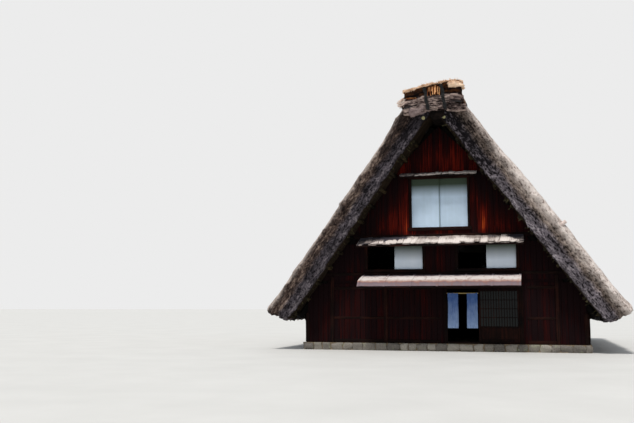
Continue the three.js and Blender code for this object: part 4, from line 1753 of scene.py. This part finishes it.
def lattice(name, low, high, bars):
    """Stiles, rails and thin bars over a boarded foot; the glass is made apart."""
    stile = 0.06
    left, right = low.x + stile, high.x - stile
    deep = high.y - low.y
    parts = []
    for x0, x1 in ((low.x, left), (right, high.x)):
        parts.append(member("stile", (x0, low.y, low.z), (x1, high.y, high.z), 3, ease=0.004))
    for z0, z1 in ((low.z, low.z + 0.09), (LATTICE_FOOT_Z, LATTICE_FOOT_Z + 0.05),
                   (high.z - 0.07, high.z)):
        parts.append(member("rail", (left, low.y, z0), (right, high.y, z1), 4, ease=0.004))
    for n in range(bars):
        x = left + (high.x - low.x - 2 * stile) * (n + 1) / (bars + 1)
        parts.append(slim("bar", (x - 0.010, low.y + 0.004, LATTICE_FOOT_Z + 0.04),
                          (x + 0.010, low.y + deep * 0.6, high.z - 0.06), 0.4))
    for n in range(LATTICE_RAILS):
        rise = (high.z - LATTICE_FOOT_Z - 0.12) * (n + 1) / (LATTICE_RAILS + 1)
        z = LATTICE_FOOT_Z + 0.05 + rise
        parts.append(slim("bar", (left, low.y + 0.007, z - 0.010),
                          (right, low.y + deep * 0.55, z + 0.010), 0.5))
    panel = block("foot", (left - 0.01, low.y + deep * 0.3, low.z + 0.05),
                  (right + 0.01, low.y + deep * 0.75, LATTICE_FOOT_Z + 0.01))
    choose(panel, "FACE", lambda middle, normal: normal.y < -0.9)
    bpy.ops.mesh.subdivide(number_cuts=5)
    bpy.ops.mesh.inset(thickness=0.006, depth=-0.004, use_individual=False)
    done()
    set_tone(panel, 0.8)
    return joined(name, [*parts, panel])


def glass_pane(name, low, high):
    """Old glass behind the bars of a lattice, not quite flat."""
    deep = high.y - low.y
    pane = block(name, (low.x + 0.05, low.y + deep * 0.62, LATTICE_FOOT_Z + 0.03),
                 (high.x - 0.05, low.y + deep * 0.74, high.z - 0.05))
    bevel(pane, 0.001)
    choose(pane, "FACE", lambda middle, normal: abs(normal.y) > 0.9)
    bpy.ops.mesh.subdivide(number_cuts=6)
    done()
    ruffle(pane, 0.002, (0.3, 0.3, 0.3), seed=2)
    return pane


def make_entrance():
    """The fixed lattice screen, and the sliding leaf that stands on two runners."""
    for node, body, bars in (("entrance_screen", "house", 13), ("sliding_door", "door_leaf", 11)):
        low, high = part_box(node)
        if node == "sliding_door":
            low = low + Vector((0, 0, 0.005))
        wood = lattice(f"{node}_lattice", low, high, bars)
        settle(wood, dark_timber_finish(), "glazed_lattice", body, smooth=30, replaces=[node])
        glass = glass_pane(f"{node}_glass", low, high)
        settle(glass, glass_finish(), "glazed_lattice", body, smooth=30)
    low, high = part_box("sliding_door")
    runners = []
    for x in (low.x + 0.06, high.x - 0.12):
        runners.append(slim("runner", (x, low.y + 0.006, low.z),
                            (x + 0.06, high.y - 0.006, low.z + 0.012), 0.5))
    settle(joined("sliding_door_runners", runners), dark_timber_finish(), "glazed_lattice",
           body="door_leaf", smooth=30)


# The curtain.

def hanging_fold(across, fallen, seed):
    """How far a point of the cloth is pushed out by the folds, as a share of their depth."""
    wave = math.sin(across * 11.5 + seed + 0.7 * fallen) * 0.6
    wave += 0.4 * math.sin(across * 24 + seed * 2 + 2.2 * fallen)
    return wave * min(1.0, fallen * 3)


def curtain_strip(name, node, rod, seed):
    """A strip of cloth looped over the rod, hanging in soft folds; gives its flat size too."""
    low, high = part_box(node)
    wrap = ROD_WRAP_RADIUS * math.pi * 1.5
    hang = rod.z - low.z
    length = wrap + hang
    only()
    bpy.ops.mesh.primitive_grid_add(x_subdivisions=28, y_subdivisions=72, size=1)
    cloth = named(name)
    middle = (low.x + high.x) / 2
    for vertex in cloth.data.vertices:
        across, down = vertex.co.x + 0.5, (0.5 - vertex.co.y) * length
        if down < wrap:
            angle = -math.pi / 2 + down / ROD_WRAP_RADIUS
            vertex.co = (middle + (across - 0.5) * (high.x - low.x),
                         rod.y + ROD_WRAP_RADIUS * math.cos(angle),
                         rod.z + ROD_WRAP_RADIUS * math.sin(angle))
            continue
        fallen = (down - wrap) / hang
        folds = 0.030 * hanging_fold(across, fallen, seed)
        swing = 0.010 * math.sin(fallen * 3 + seed)
        narrow = 1 - 0.035 * math.sin(min(1, fallen * 1.6) * math.pi)
        x = middle + (across - 0.5) * (high.x - low.x) * narrow + swing * fallen
        y = rod.y - ROD_WRAP_RADIUS + folds + 0.012 * fallen
        vertex.co = (x, y, rod.z - hang * fallen)
    area = sum(face.area for face in cloth.data.polygons)
    modify(cloth, "SOLIDIFY", thickness=0.0018, offset=0)
    return cloth, (area / length, length)


def make_curtain():
    """Two strips of blue cloth over one bamboo rod."""
    rod_low, rod_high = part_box("curtain_rod")
    rod = Vector((0, rod_low.y + 0.015, (rod_low.z + rod_high.z) / 2))
    finish = blue_cloth_finish()
    for seed, word in enumerate(("left", "right")):
        cloth, flat = curtain_strip(f"curtain_cloth_{word}", f"curtain_{word}", rod, seed + 1)
        settle(cloth, finish, "blue_cloth", smooth=180, replaces=[f"curtain_{word}"])
    make_rod(rod_low, rod_high, rod)


def make_rod(rod_low, rod_high, middle):
    """A bamboo rod with its joints, and the two brackets that hold it."""
    rod = pole("bamboo_rod", (rod_low.x + 0.03, middle.y, middle.z),
               (rod_high.x - 0.03, middle.y, middle.z), 0.0145, sides=14)
    for n in range(5):
        x = rod_low.x + 0.12 + n * (rod_high.x - rod_low.x - 0.24) / 4
        for offset in (-0.006, 0.006):
            score(rod, (x + offset, 0, 0), (1, 0, 0))
        choose(rod, "FACE", lambda at, normal: abs(at.x - x) < 0.005 and abs(normal.x) < 0.5)
        bpy.ops.transform.shrink_fatten(value=0.0025)
        done()
    settle(rod, bamboo_finish(), "bamboo", smooth=40, replaces=["curtain_rod"])
    brackets = []
    for x in (rod_low.x, rod_high.x - 0.03):
        brackets.append(member("bracket", (x, middle.y, middle.z - 0.018),
                               (x + 0.03, rod_high.y, middle.z + 0.018), seed=4, ease=0.004))
    settle(joined("rod_brackets", brackets), dark_beam_finish(), "bamboo", smooth=30)


# The base.

def field_stone(name, size, seed):
    """A rounded river stone, flat where it beds on its neighbours."""
    stone = block(name, [-s / 2 for s in size], [s / 2 for s in size])
    bevel(stone, min(size) * 0.28, 2)
    every(stone)
    bpy.ops.mesh.subdivide(number_cuts=1, smoothness=0.4)
    done()
    ruffle(stone, 0.05, (0.16, 0.16, 0.14), seed)
    return stone


def stone_places(chance, length, out):
    """Places of stones along a straight run of base, seen from its outside."""
    places = []
    x = -length / 2
    while x < length / 2 - 0.1:
        width = min(chance.uniform(0.26, 0.46), length / 2 - x)
        size = Matrix.Diagonal((width / 0.36, 1, chance.uniform(0.92, 1.04), 1))
        flip = turned("X", chance.choice((0, math.pi)))
        start = Matrix.Translation((x + width / 2, -out + chance.uniform(0.06, 0.09), 0.118))
        places.append(start @ size @ flip)
        x += width
    return places


def make_base():
    """Field stones round the four sides of the base, cut level at foot and top."""
    low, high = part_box("stone_base")
    chance = random.Random(71)
    places = []
    for quarter in range(4):
        length = 2 * (high.x if quarter % 2 == 0 else high.y) - 0.02
        out = high.y if quarter % 2 == 0 else high.x
        turn = turned("Z", quarter * math.pi / 2)
        places += [turn @ place for place in stone_places(chance, length, out)]
    sources = [field_stone("stone", (0.37, 0.24, 0.26), seed) for seed in (2, 5, 8, 11)]
    stones = repeated("field_stones", sources, places, seed=73)
    cut(stones, (0, 0, 0), (0, 0, -1))
    cut(stones, (0, 0, BASE_TOP - 0.003), (0, 0, 1))
    settle(stones, stone_finish(), "stone", smooth=50)


# Finishes of the CAD nodes that stay in sight.

def make_finishes():
    """Gives the frame's own nodes that stay in sight a finish like their neighbours'."""
    looks = {
        "stone_base": (earth_finish, "stone"),
        "second_floor": (floor_board_finish, "floor_boards"),
        "third_floor": (floor_board_finish, "floor_boards"),
        "entrance_threshold": (dark_beam_finish, "dark_timber"),
        "entrance_head": (dark_beam_finish, "dark_timber"),
        "entrance_post_left": (dark_timber_finish, "dark_timber"),
        "entrance_post_right": (dark_timber_finish, "dark_timber"),
    }
    for name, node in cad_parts.items():
        if node.hide_render:
            continue
        finish = dark_timber_finish
        if name in looks:
            finish = looks[name][0]
        elif "pent" in name or "shingle" in name:
            finish = dark_beam_finish
        elif "wall" in name or "storey" in name or "gable" in name:
            finish = wall_board_finish
        node.data.materials.clear()
        node.data.materials.append(finish())


# The stage.

def studio_light():
    """Even pale light from all round; what the camera sees of it is a pale backdrop."""
    world = bpy.data.worlds.new("studio")
    world.use_nodes = True
    nodes, links = world.node_tree.nodes, world.node_tree.links
    fill = nodes["Background"]
    fill.inputs["Color"].default_value = (0.90, 0.95, 1.0, 1.0)
    fill.inputs["Strength"].default_value = sizes().fill_light
    backdrop = nodes.new("ShaderNodeBackground")
    backdrop.inputs["Color"].default_value = paint(236, 236, 236)
    share = nodes.new("ShaderNodeMixShader")
    links.new(nodes.new("ShaderNodeLightPath").outputs["Is Camera Ray"], share.inputs[0])
    links.new(fill.outputs[0], share.inputs[1])
    links.new(backdrop.outputs[0], share.inputs[2])
    links.new(share.outputs[0], nodes["World Output"].inputs["Surface"])
    return world


def make_stage():
    """The pale floor, the light and the camera."""
    only()
    bpy.ops.mesh.primitive_plane_add(size=1, location=(0, 0, 0))
    bpy.context.object.scale = (600, 600, 1)
    floor = named("studio_floor")
    floor.data.materials.append(studio_floor_finish())
    scene = bpy.context.scene
    scene.view_settings.view_transform = "Standard"
    scene.world = studio_light()
    lamp = bpy.data.lights.new("key", "SUN")
    lamp.energy = sizes().key_light
    lamp.angle = math.radians(10)
    lamp.color = (1.0, 0.97, 0.93)
    key = bpy.data.objects.new("key", lamp)
    key.rotation_euler = (math.radians(25), 0, math.radians(-8))
    scene.collection.objects.link(key)
    lens = bpy.data.cameras.new("camera")
    lens.lens = CAMERA_LENS
    lens.sensor_width = 36.0
    lens.clip_end = 1000
    camera = bpy.data.objects.new("camera", lens)
    camera.location = CAMERA_PLACE
    camera.rotation_euler = (math.radians(CAMERA_PITCH), 0, math.radians(CAMERA_YAW))
    scene.collection.objects.link(camera)
    scene.camera = camera


# The add-on.

def length_property(name, text, default, low=0.0):
    return bpy.props.FloatProperty(name=name, description=text, default=default, min=low,
                                   subtype="DISTANCE", unit="LENGTH")


def colour_property(name, text, default):
    return bpy.props.FloatVectorProperty(name=name, description=text, default=default, size=4,
                                         min=0.0, max=1.0, subtype="COLOR")


class FarmhouseSizes(bpy.types.PropertyGroup):
    verge_round: length_property("Verge rounding", "Radius of the thatch's outer edges", 0.24)
    thatch_mesh: length_property("Thatch mesh", "Size of the thatch's mesh cells", 0.07, 0.02)
    straw_layer: length_property("Straw layer", "Thickness of one layer of the ridge", 0.06, 0.02)
    board_width: length_property("Board width", "Width of one wall board", 0.18, 0.05)
    shake_width: length_property("Shake width", "Width of one shake on the pent roofs", 0.22, 0.1)
    tufts: bpy.props.IntProperty(name="Tufts", description="Reed tufts along each edge of a slope",
                                 default=260, min=0)
    needles: bpy.props.IntProperty(name="Needles", description="Poles through the thatch below "
                                   "the ridge", default=6, min=2)
    key_light: bpy.props.FloatProperty(name="Key light", description="Strength of the soft key "
                                       "light", default=3.0, min=0.0)
    fill_light: bpy.props.FloatProperty(name="Fill light", description="Strength of the light "
                                        "from all round", default=0.6, min=0.0)


class FarmhouseColours(bpy.types.PropertyGroup):
    reed_dark: colour_property("Reed, dark", "Hollows of the cut reed", paint(26, 21, 20))
    reed: colour_property("Reed", "Cut reed at the right verge", paint(118, 104, 96))
    # Reed of the left verge, painted darker and browner as painted shade.
    reed_left_shaded: colour_property("Reed, damp", "Cut reed at the left verge", paint(74, 60, 55))
    reed_light: colour_property("Reed, light", "Worn reed at the verge", paint(196, 180, 168))
    # The rim colour is painted sunlight.
    reed_rim: colour_property("Reed rim", "Sunlit outer edge of the thatch", paint(236, 222, 214))
    ridge_straw: colour_property("Ridge straw", "Straw mat on the ridge", paint(240, 204, 172))
    boards_dark: colour_property("Boards, dark", "Stained wall boards", paint(42, 8, 7))
    boards: colour_property("Boards", "Wall boards", paint(104, 24, 12))
    # The worn colour also serves as painted sunlight on the front gable.
    boards_worn_sunlit: colour_property("Boards, worn", "Sun-worn wall boards", paint(236, 104, 40))
    shingles: colour_property("Shingles", "Bleached shakes", paint(206, 196, 190))
    metal: colour_property("Metal", "Top of the metal pent roof", paint(212, 204, 200))
    rust: colour_property("Rust", "Rust at the fold of the metal", paint(134, 92, 82))
    # The panels' blue tint is painted skylight.
    panels: colour_property("Panels", "White window panels", paint(196, 216, 236))
    cloth: colour_property("Cloth", "Dyed curtain cloth", paint(58, 92, 152))
    cloth_faded: colour_property("Cloth, faded", "Curtain cloth at the hem", paint(148, 172, 208))


class FARMHOUSE_OT_stage(bpy.types.Operator):
    """Pale floor, soft lights and the camera"""
    bl_idname = "farmhouse.stage"
    bl_label = "Stage"

    def execute(self, context):
        make_stage()
        return {"FINISHED"}


class FARMHOUSE_OT_thatch(bpy.types.Operator):
    """Thick reed slopes with rounded verges and frayed edges"""
    bl_idname = "farmhouse.thatch"
    bl_label = "Thatch"

    def execute(self, context):
        make_thatch()
        return {"FINISHED"}


class FARMHOUSE_OT_ridge(bpy.types.Operator):
    """Bound straw courses, needles and ropes of the ridge"""
    bl_idname = "farmhouse.ridge"
    bl_label = "Ridge"

    def execute(self, context):
        make_ridge()
        return {"FINISHED"}


class FARMHOUSE_OT_roof_frame(bpy.types.Operator):
    """Rafters, purlins and their lashings"""
    bl_idname = "farmhouse.roof_frame"
    bl_label = "Roof frame"

    def execute(self, context):
        make_roof_frame()
        return {"FINISHED"}


class FARMHOUSE_OT_gable_walls(bpy.types.Operator):
    """Boards, posts and beams of the walls"""
    bl_idname = "farmhouse.gable_walls"
    bl_label = "Walls"

    def execute(self, context):
        make_gable_walls()
        return {"FINISHED"}


class FARMHOUSE_OT_windows(bpy.types.Operator):
    """White window panels in their frames"""
    bl_idname = "farmhouse.windows"
    bl_label = "Windows"

    def execute(self, context):
        make_windows()
        return {"FINISHED"}


class FARMHOUSE_OT_pent_roofs(bpy.types.Operator):
    """Shingles and folded metal on the pent roofs"""
    bl_idname = "farmhouse.pent_roofs"
    bl_label = "Pent roofs"

    def execute(self, context):
        make_pent_roofs()
        return {"FINISHED"}


class FARMHOUSE_OT_entrance(bpy.types.Operator):
    """The lattice screen and the sliding leaf"""
    bl_idname = "farmhouse.entrance"
    bl_label = "Entrance"

    def execute(self, context):
        make_entrance()
        return {"FINISHED"}


class FARMHOUSE_OT_curtain(bpy.types.Operator):
    """The split blue curtain on its rod"""
    bl_idname = "farmhouse.curtain"
    bl_label = "Curtain"

    def execute(self, context):
        make_curtain()
        return {"FINISHED"}


class FARMHOUSE_OT_base(bpy.types.Operator):
    """Field stones round the base"""
    bl_idname = "farmhouse.base"
    bl_label = "Base"

    def execute(self, context):
        make_base()
        return {"FINISHED"}


class FARMHOUSE_OT_finishes(bpy.types.Operator):
    """Finishes for the frame's own pieces that stay in sight"""
    bl_idname = "farmhouse.finishes"
    bl_label = "Finishes"

    def execute(self, context):
        make_finishes()
        return {"FINISHED"}


OPERATORS = (
    FARMHOUSE_OT_stage, FARMHOUSE_OT_thatch, FARMHOUSE_OT_ridge, FARMHOUSE_OT_roof_frame,
    FARMHOUSE_OT_gable_walls, FARMHOUSE_OT_windows, FARMHOUSE_OT_pent_roofs,
    FARMHOUSE_OT_entrance, FARMHOUSE_OT_curtain, FARMHOUSE_OT_base, FARMHOUSE_OT_finishes,
)


class FARMHOUSE_PT_sidebar(bpy.types.Panel):
    """Lists the steps that build the farmhouse"""
    bl_idname = "FARMHOUSE_PT_sidebar"
    bl_label = "Thatched Farmhouse"
    bl_space_type = "VIEW_3D"
    bl_region_type = "UI"
    bl_category = "Farmhouse"

    def draw(self, context):
        for operator in OPERATORS:
            self.layout.operator(operator.bl_idname)
        for group in (context.scene.farmhouse_sizes, context.scene.farmhouse_colours):
            for key in group.bl_rna.properties.keys():
                if key not in ("rna_type", "name"):
                    self.layout.prop(group, key)


CLASSES = (FarmhouseSizes, FarmhouseColours, *OPERATORS, FARMHOUSE_PT_sidebar)


def register():
    for cls in CLASSES:
        bpy.utils.register_class(cls)
    bpy.types.Scene.farmhouse_sizes = bpy.props.PointerProperty(type=FarmhouseSizes)
    bpy.types.Scene.farmhouse_colours = bpy.props.PointerProperty(type=FarmhouseColours)


def unregister():
    del bpy.types.Scene.farmhouse_colours
    del bpy.types.Scene.farmhouse_sizes
    for cls in reversed(CLASSES):
        bpy.utils.unregister_class(cls)


def main():
    register()
    bpy.ops.farmhouse.stage()
    bpy.ops.farmhouse.thatch()
    bpy.ops.farmhouse.ridge()
    bpy.ops.farmhouse.roof_frame()
    bpy.ops.farmhouse.gable_walls()
    bpy.ops.farmhouse.windows()
    bpy.ops.farmhouse.pent_roofs()
    bpy.ops.farmhouse.entrance()
    bpy.ops.farmhouse.curtain()
    bpy.ops.farmhouse.base()
    bpy.ops.farmhouse.finishes()


if __name__ == "__main__":
    main()
